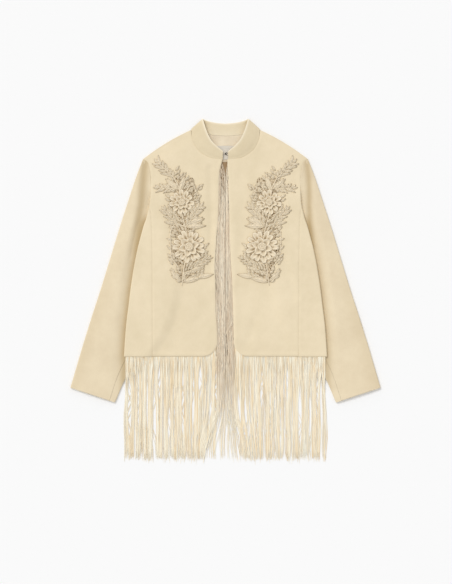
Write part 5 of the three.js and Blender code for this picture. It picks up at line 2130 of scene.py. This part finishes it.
                way = math.pi if sign > 0 else 0.0
                line.append((sign * (x0 + 3), y, z0 + 0.4, way))
        tape = self._tape(f"edge_tape_{side.word}", line)
        return self._make(
            f"edge_fringe_{side.word}",
            threads,
            tape,
            cloth.shaded_edge_thread,
            f"fringe_edge_{side.word}",
        )


@dataclass
class Studio:
    """The floor, the light and the camera, straight above."""

    middle: tuple[float, float] = (1.25, -3.1)
    height: float = 1.46
    lens: float = 100.0
    sky: float = 0.7
    sun: float = 1.3

    def build(self) -> None:
        """Set up the floor, the lights and the camera."""
        scene = bpy.context.scene
        bm = bmesh.new()
        bmesh.ops.create_grid(bm, x_segments=1, y_segments=1, size=6.0)
        floor = to_object("floor", bm, PaleBoard().make())
        floor.location = (0, 0, -0.0004)

        world = bpy.data.worlds.new("studio")
        world.use_nodes = True
        sky = world.node_tree.nodes["Background"]
        sky.inputs["Color"].default_value = (1.0, 1.0, 1.0, 1.0)
        sky.inputs["Strength"].default_value = self.sky
        scene.world = world

        lamp = bpy.data.lights.new("key", "SUN")
        lamp.energy = self.sun
        lamp.angle = math.radians(24)
        light = bpy.data.objects.new("key", lamp)
        way = -Vector((-0.62, 0.72, 1.15))
        light.rotation_euler = way.to_track_quat("-Z", "Y").to_euler()
        scene.collection.objects.link(light)

        view = bpy.data.cameras.new("above")
        view.lens = self.lens
        view.sensor_width = 36.0
        view.clip_end = 50.0
        camera = bpy.data.objects.new("above", view)
        reach = self.height / 2 * self.lens / (view.sensor_width / 2)
        camera.location = (self.middle[0] * MM, self.middle[1] * MM, reach)
        scene.collection.objects.link(camera)
        scene.camera = camera
        scene.view_settings.view_transform = "Standard"


@dataclass(frozen=True)
class CutPiece:
    """A sheet with the flat size of what shows, its area, what it lies on and what it
    carries; only its measured area is logged.
    """

    piece: bpy.types.Object
    flat: tuple[float, float]
    area: float
    rests_on: tuple[bpy.types.Object, ...]
    carries: tuple[bpy.types.Object, ...] = ()

    def declare(self) -> None:
        LOG.info("%s measured %.4f", self.piece.name, measure(self.piece))


def measure(piece: bpy.types.Object) -> float:
    """Give half the area of a piece's surface in square metres, as its cloth's."""
    shown = piece.evaluated_get(bpy.context.evaluated_depsgraph_get())
    return sum(p.area for p in shown.data.polygons) / 2


def main() -> None:
    """Build the jacket and the studio, in order."""
    logging.basicConfig(level=logging.INFO, format="%(name)s: %(message)s")
    Studio().build()
    cloth = Wardrobe()
    back = Back().build(cloth)
    fronts = {side: Front(side) for side in Side}
    panels = {side: fronts[side].build(cloth) for side in Side}
    sides = {side: SidePanel(side).build(cloth) for side in Side}
    sleeves = {side: Sleeve(side).build(cloth) for side in Side}
    collar = Collar(fronts).build(cloth)
    facing, label = NeckInside().build(cloth)
    Closure().build(cloth)
    laces = {side: LaceApplique(side, fronts[side]).build(cloth) for side in Side}
    fringe = Fringe()
    back_fringe = fringe.back(cloth)
    hem_fringes = {side: fringe.front(side, cloth) for side in Side}
    edge_fringes = {side: fringe.edge(side, cloth) for side in Side}
    bpy.context.view_layer.update()
    both = tuple(piece for pair in sleeves.values() for piece in pair)
    sheets = [
        CutPiece(back, (0.412, 0.566), 0.204, both, (back_fringe,)),
        CutPiece(collar, (0.410, 0.045), 0.0135, (back, *panels.values())),
        CutPiece(facing, (0.144, 0.075), 0.0095, (back,)),
        CutPiece(label, (0.055, 0.0345), 0.00189, (facing,)),
    ]
    for side in Side:
        upper, under = sleeves[side]
        on_front = (laces[side], hem_fringes[side], edge_fringes[side])
        sheets += [
            CutPiece(panels[side], (0.198, 0.566), 0.090, (back, under), on_front),
            CutPiece(sides[side], (0.150, 0.372), 0.0362, (under,)),
            CutPiece(upper, (0.175, 0.610), 0.0825, (under,)),
            CutPiece(under, (0.170, 0.600), 0.0682, (upper,)),
        ]
    for sheet in sheets:
        sheet.declare()


if __name__ == "__main__":
    main()
